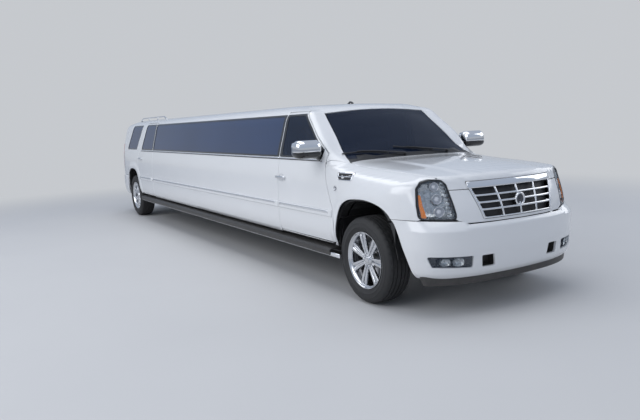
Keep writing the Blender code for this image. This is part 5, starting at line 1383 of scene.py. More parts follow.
# Windscreen with its black border, cowl and wipers
screen_half = [(0.0, 0.458), (0.45, 0.474), (0.773, 0.520), (0.7180, 0.803), (0.6605, 1.108),
               (0.40, 1.0885), (0.0, 1.0785)]
screen_plan = [(x, front(d)) for x, d in screen_half[1:-1]] + [(-x, front(d)) for x,
        d in reversed(screen_half[1:-1])]
screen_line = fine(rounded(screen_plan, 0.045), 0.025, True)
screen_edge = thinned(from_top(screen_line, 1.2), 0.004)
inner_half = [(0.45, 0.560), (0.715, 0.640), (0.6850, 0.803), (0.6330, 1.080), (0.40, 1.060)]
inner_plan = [(x, front(d)) for x, d in inner_half] + [(-x, front(d)) for x, d in reversed(inner_half)]
screen_inner = thinned(from_top(fine(rounded(inner_plan, 0.035), 0.025, True), 1.2), 0.004)
skins("windscreen_glass", TUBE, [screen_edge], (0.05, 0.03), ["windscreen"], material=CLEAR_GLASS,
      slot="clear_glass", whole=True,
      inset=0.003, depth=0.005, edge=0.001)
skins("windscreen_border", TUBE, [screen_edge, screen_inner], (0.05, 0.03), [], material=GLOSS_BLACK,
      slot="black_plastic", whole=True,
      inset=0.0085, depth=0.003, edge=0.0)
cowl_half = np.vstack([
    from_top(fine([(0.0, front(0.4425)), (0.797, front(0.4425))], 0.03), 1.0),
    from_top(fine([(0.797, front(0.4430)), (0.784, front(0.5000)), (0.778, front(0.5250))], 0.02), 1.0)[1:],
    from_top(fine([(0.778, front(0.5250)), (0.45, front(0.4790)), (0.0, front(0.4630))], 0.03), 1.0)[1:],
])
skins("cowl", NOSE_VIEW, [thinned(mirrored_loop(cowl_half), 0.004)], (0.02, 0.02), [],
      material=BLACK_PLASTIC, slot="black_plastic",
      whole=True, inset=0.004, depth=0.008)
parts = []
for foot, tip in (((-0.10, 0.482), (-0.64, 0.575)), ((0.48, 0.492), (-0.04, 0.550))):
    a, b = np.array(foot), np.array(tip)
    line = from_top([((a + (b - a) * t)[0], front((a + (b - a) * t)[1])) for t in np.linspace(0, 1, 14)], 1.0)
    n = normals(line)
    parts.append(strip(line, n, np.linspace(0.011, 0.005, 14), 0.005, 0.022, 3))
    blade = from_top([((b + (a - b) * 0.02 + (b - a) * t)[0],
                       front((b + (b - a) * t)[1] + 0.012 * t)) for t in np.linspace(-0.62, 0.30, 12)], 1.0)
    parts.append(strip(blade, normals(blade), 0.007, 0.006, 0.010, 2.5))
    hub = line[0] + n[0] * 0.014
    parts.append(dish(circle(hub + n[0] * 0.008, n[0], 0.015, 20), -n[0],
                      [(1.0, 0.018), (1.0, 0.003), (0.8, 0.0), (0.0, 0.0)]))
verts, faces = joined(parts)
put(add_mesh("wipers", verts, faces), "body", "black_plastic", BLACK_PLASTIC)

# Side glass, flush in gloss black surrounds
PANES = {
    "door_front": (WINDOW_FRONT, "front_{side}_door", CLEAR_GLASS, "clear_glass",
                   placed([(0.730, 1.316), (1.6505, 1.316), (1.6300, 1.777), (1.200, 1.777),
                           (0.720, 1.404)], front)),
    "side": (WINDOW_SIDE, "body", DARK_GLASS, "dark_glass",
             [(front(1.6625), 1.316), (rear(-1.3435), 1.316), (rear(-1.3435), 1.777),
              (front(1.6415), 1.777)]),
    "door_rear": (WINDOW_REAR, "rear_{side}_door", DARK_GLASS, "dark_glass",
                  placed([(-1.3285, 1.316), (-0.581, 1.316), (-0.722, 1.777), (-1.3285, 1.777)], rear)),
    "quarter": (WINDOW_QUARTER, "body", DARK_GLASS, "dark_glass",
                placed([(-0.244, 1.316), (0.452, 1.316), (0.246, 1.777), (-0.444, 1.777)], rear)),
}
for title, (outline, carrier, look, slot, around_line) in PANES.items():
    corner = 0.030 if title == "side" else 0.045
    line = rounded(outline, corner)
    pane = thinned(from_side(fine(grown(line, -0.002), 0.03, True)), 0.004)
    hole = thinned(from_side(fine(grown(line, -0.006), 0.03, True)), 0.004)
    outer = thinned(from_side(fine(rounded(around_line, 0.012 if title in ("side",) else 0.030), 0.03,
                                   True)), 0.004)
    skins(f"pane_{title}", TUBE, [pane], (0.06, 0.04), [f"glass_{title}_{{side}}"], body=carrier,
          material=look, slot=slot,
          inset=0.0035, depth=0.005, edge=0.001)
    skins(f"surround_{title}", TUBE, [outer, hole], (0.06, 0.04), [], body=carrier, material=GLOSS_BLACK,
          slot="black_plastic",
          inset=-0.0012, depth=0.004, edge=0.001)
gate_pane = thinned(from_rear(fine(grown(rounded(GATE_WINDOW, 0.045), -0.002), 0.03, True)), 0.004)
gate_outer = thinned(from_rear(fine(grown(rounded(GATE_WINDOW, 0.045), 0.014), 0.03, True)), 0.004)
gate_inner = thinned(from_rear(fine(grown(rounded(GATE_WINDOW, 0.045), -0.008), 0.03, True)), 0.004)
skins("pane_liftgate", TAIL_VIEW, [gate_pane], (0.03, 0.03), ["glass_liftgate"], body="tail_lid",
      material=DARK_GLASS,
      slot="dark_glass", whole=True, inset=0.0035, depth=0.005, edge=0.001)
skins("surround_liftgate", TAIL_VIEW, [gate_outer, gate_inner], (0.03, 0.03), [], body="tail_lid",
      material=GLOSS_BLACK,
      slot="black_plastic", whole=True, inset=-0.0012, depth=0.004, edge=0.001)

# Tail lamps
skins("tail_lamp_lens", CORNER_VIEW, [thinned(shrunk(lamp_loop, 0.004), 0.003)], (0.02, 0.02),
      ["tail_lamp_{side}"], material=RED_LENS,
      slot="red_lens", depth=0.016, inset=-0.001)


# Side trim
def side_strip(name, start, finish, z, half_width, half_height, lift, body, material, slot, taper=0.0):
    count = max(2, int(abs(finish - start) / 0.03) + 1)
    ys = np.linspace(start, finish, count)
    line = from_side(np.stack([ys, np.full(count, z)], 1))
    if taper:
        half_height = half_height * (0.35 + 0.65 * np.clip(np.minimum(ys - start, finish - ys) / taper, 0, 1))
    return add_twin(name, *strip(line, normals(line), half_width, half_height, lift), body=body,
                    material=material, slot=slot)


STRETCHES = (
    ("door_front", front(0.512), front(1.6600), "front_{side}_door"),
    ("side", front(1.6720), rear(-1.3560), "body"),
    ("door_rear", rear(-1.3080), rear(-0.4850), "rear_{side}_door"),
)
for title, start, finish, carrier in STRETCHES:
    side_strip(f"moulding_{title}", start, finish, 0.789, 0.034, 0.0125, 0.004, carrier, PAINT,
               "white_paint", 0.045)
    side_strip(f"moulding_line_{title}", start + 0.050, finish - 0.050, 0.8010, 0.0120, 0.0024, 0.0160,
               carrier, CHROME, "chrome")
for title, start, finish, carrier in (("door_front", front(0.7200), front(1.6480), "front_{side}_door"),
                                      ("side", front(1.6600), rear(-1.3430), "body"),
                                      ("door_rear", rear(-1.3280), rear(-0.5680), "rear_{side}_door")):
    side_strip(f"belt_{title}", start, finish, 1.3050, 0.0058, 0.0060, 0.003, carrier, CHROME, "chrome")
    side_strip(f"belt_seal_{title}", start, finish, 1.2945, 0.0048, 0.0035, 0.001, carrier, GLOSS_BLACK,
               "black_plastic")

# Fender vents with two slots, and the bare discs behind them
vent = fine(rounded(placed([(0.392, 1.1235), (0.412, 1.1965), (0.168, 1.1965), (0.180, 1.1235)], front),
                    0.016), 0.015, True)
slots = [fine(rounded(placed([(0.385, low), (0.398, low + 0.024), (0.186, low + 0.024), (0.194, low)],
                             front), 0.005), 0.012, True)
         for low in (1.1325, 1.1640)]
skins("vent_frame", FENDER_VIEW,
      [thinned(from_side(vent), 0.002)] + [thinned(from_side(each), 0.002) for each in slots],
      (0.02, 0.02), [],
      material=CHROME, slot="chrome", inset=-0.006, depth=0.010, edge=0.003)
skins("vent_slots", FENDER_VIEW,
      [thinned(from_side(np.array(grown([tuple(q) for q in vent], -0.004))), 0.002)], (0.02, 0.02), [],
      material=MESH_BLACK, slot="black_plastic", inset=-0.0015, depth=0.004, edge=0.0005)
spot = from_side([(front(0.436), 1.044)])
out = normals(spot)[0]
ring = [(1.0, -0.001), (1.0, -0.006), (0.93, -0.0075), (0.86, -0.006), (0.82, -0.003), (0.0, -0.003)]
add_twin("side_disc", *dish(circle(spot[0], out, 0.024, 36), -out, ring), slot="chrome", material=BADGE)

# Door handles: a cup and a bar on two feet
for title, place, z, carrier in (("front", front(1.575), 1.090, "front_{side}_door"),
                                 ("rear", rear(-0.455) - 0.115, 1.150, "rear_{side}_door")):
    middle = from_side([(place, z)])[0]
    out = normals(middle[None])[0]
    cup = dish(circle(middle + out * 0.0012, out, 0.062, 40, 0.038), -out,
               [(1.06, 0.0012), (1.0, -0.0005), (0.96, 0.002), (0.80, 0.010), (0.45, 0.0145), (0.0, 0.0155)])
    creased(add_twin(f"handle_cup_{title}", *cup, body=carrier, slot="chrome", material=CHROME)[0], 60)
    ys = np.linspace(-0.102, 0.102, 19)
    line = np.stack([np.full(19, middle[0]), middle[1] + ys, np.full(19, z + 0.004)],
                    1) + out * (0.036 - 1.5 * ys**2)[:, None]
    parts = [strip(line, out, 0.0165 - 0.30 * ys**2, 0.0085, 0.0, 3)]
    for at in (-0.084, 0.084):
        foot = middle + np.array([0, at, 0.004])
        parts.append(strip([foot - out * 0.004, foot + out * 0.010, foot + out * 0.022], [0, 1.0, 0],
                           0.010, 0.014, 0.0, 3))
    add_twin(f"handle_{title}", *joined(parts), body=carrier, slot="chrome", material=CHROME)

# Running boards: a bright rail along the outer edge and ribs on the tread
for title, x, z, half_width, half_height, look, slot in (("rail", 1.0265, 0.392, 0.0200, 0.0065, CHROME,
                                                          "chrome"),
                                                         ("rib_one", 1.005, 0.4370, 0.0045, 0.0015,
                                                          RUBBER, "black_plastic"),
                                                         ("rib_two", 0.990, 0.4370, 0.0045, 0.0015,
                                                          RUBBER, "black_plastic")):
    ys = np.linspace(front(0.352), rear(-0.672), 60)
    line = np.stack([np.full(60, x), ys, np.full(60, z)], 1)
    way = [1.0, 0, 0] if title == "rail" else [0, 0, 1.0]
    add_twin(f"board_{title}", *strip(line, way, half_width, half_height, 0.0, 5), slot=slot, material=look)

# Roof rails and antenna
rail_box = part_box("roof_rail_left")
ys = np.linspace(rail_box[0][1] + 0.035, rail_box[1][1] - 0.035, 34)
share = np.abs(np.linspace(-1, 1, 34))
rail_x = (rail_box[0][0] + rail_box[1][0]) / 2
feet = from_top([(rail_x, y) for y in ys], 1.2)
height = rail_box[1][2] - 0.011 - feet[:, 2]
rise = height * (1 - bump(share, 0.80, 1.02))
line = feet + np.array([[0, 0, 1.0]]) * np.maximum(rise, 0.006)[:, None]
parts = [strip(line, [0, 0, 1.0], 0.014, 0.010, 0.0, 2.6)]
for k in (11, 22):
    parts.append(strip([feet[k] - [0, 0, 0.004], (feet[k] + line[k]) / 2, line[k]], [0, 1.0, 0], 0.010,
                       0.022, 0.0, 3))
add_twin("roof_rail", *joined(parts), slot="chrome", material=CHROME, nodes=["roof_rail_{side}"])
fin_foot = from_top([(0.0, front(1.62))], 1.2)[0]
fin = [(fin_foot + [0, (t - 0.5) * 0.11,
                    0.004 + 0.030 * math.sin(math.pi * min(1, t * 1.15)) ** 0.8 * (0.4 + 0.6 * t)])
                    for t in np.linspace(0.02, 0.98, 14)]
verts, faces = strip(fin, [0, 0, 1.0], 0.011, 0.012, -0.006, 2.4)
put(add_mesh("antenna", verts, faces), "body", "black_plastic", GLOSS_BLACK)

# Door mirrors: a chrome cap over a dark lower half, glass behind
def mirror_shell(low, high, x0, x1, y0, y1, swell):
    # a rounded pod between two heights
    verts, rows, around = [], 11, 40
    a = np.linspace(0, 2 * math.pi, around, endpoint=False)
    for k in range(rows):
        t = k / (rows - 1)
        z = low + (high - low) * t
        size = swell(t)
        half_x, half_y = (x1 - x0) / 2 * size[0], (y1 - y0) / 2 * size[1]
        c, s = np.cos(a), np.sin(a)
        verts.append(np.stack([(x0 + x1) / 2 + np.sign(c) * np.abs(c) ** 0.55 * half_x,
                               (y0 + y1) / 2 + np.sign(s) * np.abs(s) ** 0.62 * half_y,
                               np.full(around, z)], 1))
    verts = np.vstack(verts)
    faces = []
    for k in range(rows - 1):
        for j in range(around):
            m = (j + 1) % around
            faces.append((k * around + j, k * around + m, (k + 1) * around + m, (k + 1) * around + j))
    faces.append(tuple(reversed(range(around))))
    faces.append(tuple(range((rows - 1) * around, rows * around)))
    return verts, faces


X0, X1, Y0, Y1 = 0.966, 1.2495, front(0.664), front(0.846)
cap = mirror_shell(1.394, 1.507, X0, X1, Y0, Y1,
                   lambda t: (math.cos(1.02 * t**2.2) ** 0.45, math.cos(1.30 * t**2.0) ** 0.55))
base = mirror_shell(1.330, 1.3915, X0, X1, Y0, Y1,
                    lambda t: (math.cos(1.05 * (1 - t) ** 2.0) ** 0.5, math.cos(1.2 * (1 - t) ** 1.8) ** 0.6))
add_twin("mirror_cap", *cap, body="front_{side}_door", slot="chrome", material=CHROME,
         nodes=["mirror_{side}"])
add_twin("mirror_base", *base, body="front_{side}_door", slot="black_plastic", material=GLOSS_BLACK)
glass_rim = [(x, Y1 + 0.001, z) for x,
             z in fine(rounded([(X0 + 0.030, 1.362), (X1 - 0.022, 1.362), (X1 - 0.026, 1.485),
                                (X0 + 0.034, 1.488)], 0.030), 0.012, True)]
add_twin("mirror_glass",
         *dish(glass_rim, [0, -1.0, 0],
               [(1.06, 0.008), (1.05, -0.001), (0.97, -0.001), (0.95, 0.003), (0.5, 0.0022), (0.0, 0.002)]),
         body="front_{side}_door", slot="dark_glass", material=MIRROR_GLASS)
foot = [(0.962, front(0.775), 1.315), (0.982, front(0.770), 1.338), (1.010, front(0.765), 1.358),
        (1.050, front(0.762), 1.372)]
add_twin("mirror_arm", *strip(spline(foot, 6), [0, 1.0, 0], 0.018, 0.036, 0.0, 3),
         body="front_{side}_door", slot="black_plastic",
         material=GLOSS_BLACK)

# Wheels
SPOKES = 7


def placed_wheel(parts, x, y, sign):
    # from wheel space, with +Z outwards, to its place at rest
    verts, faces = parts
    turn = np.array([[0, 0, sign], [0, 1, 0], [-sign, 0, 0]], float)
    moved = verts @ turn.T + [x * sign, y, 0.405]
    return moved, faces


def rim_parts():
    half = 0.118
    barrel = turned([(0.232, -half + 0.004), (0.262, -half), (0.2655, -half + 0.004),
                     (0.2655, -half + 0.010), (0.2555, -half + 0.014),
                     (0.246, -0.060), (0.244, 0.020), (0.2535, half - 0.018), (0.2605, half - 0.012),
                     (0.2660, half - 0.006),
                     (0.2665, half + 0.001), (0.2645, half + 0.004), (0.2605, half + 0.003),
                     (0.2560, half - 0.004), (0.2520, half - 0.010),
                     (0.2450, half - 0.014), (0.2400, half - 0.020), (0.2375, half - 0.034),
                     (0.2345, 0.050), (0.2320, -0.030),
                     (0.2320, -half + 0.004)], 112)
    parts = [barrel]
    section = [(-1.0, -0.030), (-1.0, -0.006), (-0.90, -0.001), (-0.72, 0.0), (-0.36, -0.001),
               (-0.24, -0.005), (-0.20, -0.015),
               (0.20, -0.015), (0.24, -0.005), (0.36, -0.001), (0.72, 0.0), (0.90, -0.001), (1.0, -0.006),
               (1.0, -0.030)]
    for index in range(SPOKES):
        verts = []
        radii = np.array([0.046, 0.060, 0.080, 0.110, 0.150, 0.190, 0.222, 0.236, 0.2395])
        widths = np.array([0.0245, 0.0250, 0.0270, 0.0300, 0.0335, 0.0370, 0.0410, 0.0460, 0.0520])
        tops = np.array([0.078, 0.084, 0.0885, 0.0920, 0.0955, 0.0985, 0.1010, 0.1015, 0.1000])
        for r, w, top in zip(radii, widths, tops):
            verts.append([(r, u * w, top + h) for u, h in section])
        verts = np.array(verts)
        rings, wide = verts.shape[:2]
        verts = verts.reshape(-1, 3)
        faces = []
        for k in range(rings - 1):
            for j in range(wide):
                m = (j + 1) % wide
                faces.append((k * wide + j, (k + 1) * wide + j, (k + 1) * wide + m, k * wide + m))
        angle = 2 * math.pi * (index + 0.25) / SPOKES
        spin = np.array([[math.cos(angle), -math.sin(angle), 0], [math.sin(angle), math.cos(angle), 0],
                         [0, 0, 1]])
        parts.append((verts @ spin.T, faces))
    parts.append(turned([(0.0, 0.1015), (0.026, 0.1005), (0.0315, 0.0975), (0.033, 0.0925),
                         (0.0365, 0.0925), (0.0385, 0.0945), (0.043, 0.0935),
                         (0.050, 0.0850), (0.060, 0.0720), (0.0850, 0.0680), (0.0850, 0.0300),
                         (0.0, 0.0300)], 56, True))
    for index in range(6):
        angle = 2 * math.pi * (index + 0.5) / 6
        middle = np.array([0.062 * math.cos(angle), 0.062 * math.sin(angle), 0])
        nut = turned([(0.0, 0.0900), (0.0055, 0.0895), (0.0095, 0.0870), (0.0095, 0.0700)], 6, True)
        parts.append((nut[0] + middle, nut[1]))
    return joined(parts)


def tyre_parts():
    half = 0.1375
    side = [(0.2560, half - 0.030), (0.2665, half - 0.0285), (0.2710, half - 0.0215),
            (0.2750, half - 0.0205), (0.2900, half - 0.0095),
            (0.3060, half - 0.0035), (0.3075, half - 0.0015), (0.3110, half - 0.0010),
            (0.3125, half - 0.0020), (0.3350, half - 0.0005),
            (0.3440, half - 0.0015), (0.3452, half), (0.3480, half), (0.3492, half - 0.0020),
            (0.3650, half - 0.0070),
            (0.3800, half - 0.0150), (0.3915, half - 0.0270), (0.3965, half - 0.0370)]
    tread = [(0.4000, 0.0930), (0.4005, 0.0840), (0.3925, 0.0830), (0.3925, 0.0770), (0.4022, 0.0760),
             (0.4038, 0.0480), (0.3950, 0.0470),
             (0.3950, 0.0390), (0.4042, 0.0380), (0.4050, 0.0080), (0.3960, 0.0070)]
    profile = side + tread
    profile += [(r, -h) for r, h in reversed(profile)]
    count = 180
    verts, faces = turned(profile, count, True)
    verts = verts.reshape(len(profile), count, 3)
    # cross grooves: every fifth column of the blocks is pressed in
    for k, (r, h) in enumerate(profile):
        if r > 0.3960:
            for j in range(count):
                step = (j + (2 if abs(h) > 0.06 else 0)) % 5
                if step == 0 and abs(h) > 0.030:
                    verts[k, j, :2] *= (r - 0.006) / r
    return verts.reshape(-1, 3), faces


rim_mesh, tyre_mesh = rim_parts(), tyre_parts()
disc_mesh = turned([(0.060, 0.004), (0.160, 0.004), (0.165, 0.002), (0.165, -0.022), (0.160, -0.024),
                    (0.060, -0.024)], 72, True)
bell_mesh = turned([(0.0, 0.030), (0.078, 0.030), (0.084, 0.026), (0.086, 0.004)], 56, True)
for end, y, x in (("front", FRONT, 0.866), ("rear", REAR, 0.851)):
    for side, sign in (("left", 1), ("right", -1)):
        carrier = f"{end}_{side}_wheel"
        title = f"{end}_{side}"
        creased(put(add_mesh(f"wheel_{title}", *placed_wheel(rim_mesh, x, y, sign)), carrier, "chrome",
                    WHEEL_METAL, [f"rim_{title}"]), 38)
        creased(put(add_mesh(f"tread_{title}", *placed_wheel(tyre_mesh, x, y, sign)), carrier, "tyre",
                    TYRE, [f"tyre_{title}"]), 50)
        verts, faces = placed_wheel(joined([disc_mesh, bell_mesh]), x, y, sign)
        creased(put(add_mesh(f"disc_{title}", verts - [0.012 * sign, 0, 0], faces), carrier,
                    "knuckle_iron", DISC))
        hold = "left_knuckle" if title == "front_left" else "right_knuckle" if title == "front_right" else "body"
        a = np.linspace(math.radians(205), math.radians(262), 12)
        arc = np.stack([np.cos(a) * 0.142, np.sin(a) * 0.142, np.full(12, -0.022)], 1)
        arc[:, 0] *= -1 if end == "front" else 1
        verts, faces = placed_wheel(strip(arc, [0, 0, 1.0], 0.036, 0.036, 0.0, 5), x, y, sign)
        creased(put(add_mesh(f"caliper_{title}", verts, faces), hold, "knuckle_iron", IRON))


# Rear bumper with its step and valance
REAR_PLAN = [(0.0, 1.1855), (0.40, 1.1735), (0.70, 1.1335), (0.87, 1.0485), (0.955, 0.9290),
             (0.989, 0.7600), (0.9935, 0.4560)]


def rear_profile(z, x):
    return smooth([0.372, 0.402, 0.440, 0.500, 0.600, 0.748, 0.780, 0.7965],
                  [-0.075, -0.048, -0.028, -0.012, 0.0, 0.0, -0.008, -0.030])(z)


TAIL_BUMPER = Sweep(REAR_PLAN, REAR, 1, rear_profile)
tail_end = TAIL_BUMPER.end - 0.004
tail_half = fine([(0.0, 0.7960), (tail_end, 0.7960), (tail_end - 0.030, 0.600), (tail_end - 0.110, 0.385),
                  (0.0, 0.385)], 0.025)
skins("rear_bumper_skin", TAIL_BUMPER,
      [thinned(np.vstack([tail_half, tail_half[::-1] * [-1, 1]]), 0.003)], (0.03, 0.025),
      ["rear_bumper"], whole=True, depth=0.022, edge=0.004)
pad = TAIL_BUMPER.seen(fine(rounded([(-0.62, 0.742), (0.62, 0.742), (0.62, 0.786), (-0.62, 0.786)],
                                    0.012), 0.03, True))
skins("rear_step", TAIL_BUMPER, [thinned(pad, 0.003)], (0.03, 0.02), [], whole=True,
      material=BLACK_PLASTIC, slot="black_plastic",
      inset=-0.003, depth=0.010)
for sign, side in ((1, "left"), (-1, "right")):
    spot = TAIL_BUMPER.seen(fine(rounded([(sign * 0.60, 0.470), (sign * 0.74, 0.470),
                                          (sign * 0.74, 0.505), (sign * 0.60, 0.505)], 0.010), 0.02, True))
    skins(f"rear_reflector_{side}", TAIL_BUMPER, [thinned(spot, 0.002)], (0.03, 0.02), [], whole=True,
          material=RED_LENS, slot="red_lens",
          inset=-0.003, depth=0.008)

# Tail lamp bands, liftgate handle, high brake lamp and wiper
CLEAR_LOW, CLEAR_HIGH = 0.985, 1.075
shape = shrunk(lamp_loop, 0.016)
shape = shape[(shape[:, 2] > CLEAR_LOW) & (shape[:, 2] < CLEAR_HIGH)]
order = np.argsort(np.arctan2(shape[:, 2] - (CLEAR_LOW + CLEAR_HIGH) / 2, shape[:, 1] - shape[:, 1].mean()))
skins("tail_lamp_clear", CORNER_VIEW, [thinned(shape[order], 0.003)], (0.02, 0.02), [], material=LENS_WHITE,
      slot="lamp_lens", depth=0.006, inset=-0.0035)
bar = from_rear(fine([(-0.30, 1.080), (0.30, 1.080)], 0.03))
verts, faces = strip(bar, normals(bar), 0.020, 0.011, 0.006, 3)
put(add_mesh("gate_handle", verts, faces), "tail_lid", "chrome", CHROME)
bar = from_rear(fine([(-0.17, 1.796), (0.17, 1.796)], 0.03))
verts, faces = strip(bar, normals(bar), 0.012, 0.008, 0.003, 3)
put(add_mesh("high_brake_lamp", verts, faces), "tail_lid", "red_lens", RED_LENS)
sweep_line = from_rear(fine([(0.0, 1.335), (-0.40, 1.372)], 0.03))
verts, faces = joined([strip(sweep_line, normals(sweep_line), 0.008, 0.006, 0.018, 2.6),
                       dish(circle(sweep_line[0] + [0, 0.030, 0], [0, 1.0, 0], 0.026, 24), [0, -1.0, 0],
                            [(1.0, 0.045), (1.0, 0.004), (0.85, 0.0), (0.0, 0.0)])])
put(add_mesh("rear_wiper", verts, faces), "tail_lid", "black_plastic", BLACK_PLASTIC)

# Padded seats
SEAT_CUT = 36


def pillow(length, width, height, channels=0, crown=0.42, pinch=0.10, groove=0.010):
    """A crowned cushion centred on its middle, X by Y by Z; with channels it gets sewn channels along X and a sewn
    line across each end.
    """
    u = np.sin(np.linspace(-1, 1, SEAT_CUT) * math.pi / 2)
    grid_u, grid_v = np.meshgrid(u, u, indexing="ij")
    edge = np.clip(1 - np.abs(grid_u) ** 5, 0, 1) ** 0.45 * np.clip(1 - np.abs(grid_v) ** 5, 0, 1) ** 0.45
    round_u = 1 - pinch * 0.5 * np.abs(grid_v) ** 6
    round_v = 1 - pinch * 0.5 * np.abs(grid_u) ** 6
    dome = (1 - crown * 0.5 * (grid_u**2 + grid_v**2)) * edge
    cut = np.zeros_like(dome)
    if channels:
        wave = np.abs(np.sin(math.pi * channels * (grid_v + 1) / 2))
        inner = (1 - bump(np.abs(grid_u), 0.66, 0.80)) * (1 - bump(np.abs(grid_v), 0.80, 0.94))
        cut = groove * (1 - wave) ** 3 * inner
        frame = np.exp(-(((np.abs(grid_u) - 0.80) / 0.030) ** 2)) * (np.abs(grid_v) < 0.9)
        cut = np.maximum(cut, groove * 0.9 * frame * (1 - bump(np.abs(grid_v), 0.8, 0.92)))
    top = dome * height / 2 - cut
    low = -edge * height / 2 * 0.75
    x = grid_u * round_u * length / 2
    y = grid_v * round_v * width / 2
    upper = np.stack([x, y, top], -1).reshape(-1, 3)
    lower = np.stack([x, y, low], -1).reshape(-1, 3)
    n = SEAT_CUT
    faces = []
    for i in range(n - 1):
        for j in range(n - 1):
            a = i * n + j
            faces.append((a, a + n, a + n + 1, a + 1))
            faces.append((a + n * n, a + n * n + 1, a + n * n + n + 1, a + n * n + n))
    ring = [i * n for i in range(n)] + [(n - 1) * n + j for j in range(1,
            n)] + [i * n + n - 1 for i in range(n - 2, -1, -1)]
    ring += list(range(n - 2, 0, -1))
    for k, a in enumerate(ring):
        b = ring[(k + 1) % len(ring)]
        faces.append((a, a + n * n, b + n * n, b))
    return np.vstack([upper, lower]), faces


def turned_to(parts, middle, x_way, z_way):
    # a cushion laid with its length along x_way and its crown along z_way
    verts, faces = parts
    x_way, z_way = np.array(x_way, float), np.array(z_way, float)
    x_way /= np.linalg.norm(x_way)
    y_way = np.cross(z_way, x_way)
    y_way /= np.linalg.norm(y_way)
    z_way = np.cross(x_way, y_way)
    return verts @ np.stack([x_way, y_way, z_way]) + np.array(middle, float), faces


def padded_piece(name, parts, body="body", nodes=()):
    obj = put(add_mesh(name, *joined(parts)), body, "black_leather", LEATHER, nodes)
    return obj


for side, sign in (("left", 1), ("right", -1)):
    x = 0.400 * sign
    lean = np.array([0, 0.145, 0.50])
    ahead = np.array([0, -0.50, 0.145])
    cushion = turned_to(pillow(0.500, 0.500, 0.150, 4), (x, front(1.440), 0.905), (0, 1, -0.10), (0, 0.10, 1))
    back = turned_to(pillow(0.560, 0.490, 0.135, 4), (x, front(1.722), 1.190), lean, ahead)
    head = turned_to(pillow(0.150, 0.260, 0.090, 0, 0.3), (x, front(1.765), 1.520), lean, ahead)
    bolsters = []
    for edge in (-1, 1):
        bolsters.append(turned_to(pillow(0.480, 0.085, 0.130, 0, 0.3),
                                  (x + edge * 0.222, front(1.440), 0.925), (0, 1, -0.10), (0, 0.10, 1)))
        bolsters.append(turned_to(pillow(0.500, 0.085, 0.120, 0, 0.3),
                                  (x + edge * 0.218, front(1.690), 1.180), lean, ahead))
    padded_piece(f"front_seat_{side}", [cushion, back, head] + bolsters, nodes=[f"seat_front_{side}"])
    posts = [strip([(x + dx, front(1.735), 1.42), (x + dx, front(1.762), 1.50)], [0, 1.0, 0], 0.006,
                   0.006, 0.0, 2) for dx in (-0.06, 0.06)]
    put(add_mesh(f"head_posts_{side}", *joined(posts)), "body", "chrome", STEEL)
    shell = turned_to(pillow(0.470, 0.440, 0.250, 0, 0.05, 0.0), (x, front(1.450), 0.780), (0, 1, 0),
                      (0, 0, 1))
    put(add_mesh(f"seat_base_{side}", *shell), "body", "black_plastic", BLACK_PLASTIC)

# Lounge: seat and back cushions along the left wall and across the rear, on a plinth
start, finish = front(2.400), rear(-0.520)
count = 8
pitch = (finish - start - 0.60) / count
seats_made, backs_made = [], []
for k in range(count):
    y = start + pitch * (k + 0.5)
    seats_made.append(turned_to(pillow(0.520, pitch - 0.006, 0.150, 3, 0.25), (0.570, y, 0.955),
                                (1, 0, 0), (0, 0, 1)))
    backs_made.append(turned_to(pillow(0.290, pitch - 0.006, 0.130, 3, 0.25), (0.775, y, 1.155),
                                (0.06, 0, 1), (-1, 0, 0.06)))
for k in range(3):
    x = 0.540 - 0.46 * (k + 0.5)
    seats_made.append(turned_to(pillow(0.570, 0.452, 0.150, 3, 0.25), (x, finish - 0.300, 0.955),
                                (0, 1, 0), (0, 0, 1)))
    backs_made.append(turned_to(pillow(0.290, 0.452, 0.130, 3, 0.25), (x, finish - 0.080, 1.155),
                                (0, 0.06, 1), (0, -1, 0.06)))
seats_made.append(turned_to(pillow(0.290, 0.290, 0.150, 0, 0.25), (0.690, finish - 0.300, 0.955),
                            (1, 0, 0), (0, 0, 1)))
backs_made.append(turned_to(pillow(0.290, 0.560, 0.130, 0, 0.25), (0.775, finish - 0.300, 1.155),
                            (0.06, 0, 1), (-1, 0, 0.06)))
padded_piece("lounge_cushions", seats_made + backs_made, nodes=["lounge_seat"])


def block(low, high):
    (x0, y0, z0), (x1, y1, z1) = low, high
    verts = np.array([(x0, y0, z0), (x1, y0, z0), (x1, y1, z0), (x0, y1, z0), (x0, y0, z1), (x1, y0, z1),
                      (x1, y1, z1), (x0, y1, z1)])
    return verts, [(0, 3, 2, 1), (4, 5, 6, 7), (0, 1, 5, 4), (1, 2, 6, 5), (2, 3, 7, 6), (3, 0, 4, 7)]


floor_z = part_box("floor_pan")[1][2]
plinth = joined([block((0.340, start + 0.01, floor_z), (0.830, finish - 0.02, 0.892)),
                 block((-0.830, finish - 0.580, floor_z), (0.345, finish - 0.02, 0.892))])
put(add_mesh("lounge_plinth", *plinth), "body", "black_plastic", BLACK_PLASTIC)




# Camera at the photograph's viewpoint
def aim(azimuth, elevation, roll):
    az, el, ro = [math.radians(v) for v in (azimuth, elevation, roll)]
    ahead = Vector((math.sin(az) * math.cos(el), math.cos(az) * math.cos(el), math.sin(el)))
    side = ahead.cross(Vector((0, 0, 1))).normalized()
    up = side.cross(ahead)
    across = side * math.cos(ro) + up * math.sin(ro)
    above = -side * math.sin(ro) + up * math.cos(ro)
    return Matrix((across, above, -ahead)).transposed().to_4x4()


lens = bpy.data.cameras.new("camera")
lens.lens = 628.4 / 640 * 36
lens.sensor_width = 36
lens.shift_x = -0.0129
lens.shift_y = 0.0027
lens.clip_end = 1500
camera = bpy.data.objects.new("camera", lens)
bpy.context.scene.collection.objects.link(camera)
camera.matrix_world = Matrix.Translation((-4.163, -8.785, 1.666)) @ aim(31.02, -8.01, -2.50)
bpy.context.scene.camera = camera


# Floor, soft lamps and a pale sky that glossy paint and chrome show
BACKDROP = (0.565, 0.585, 0.615, 1)


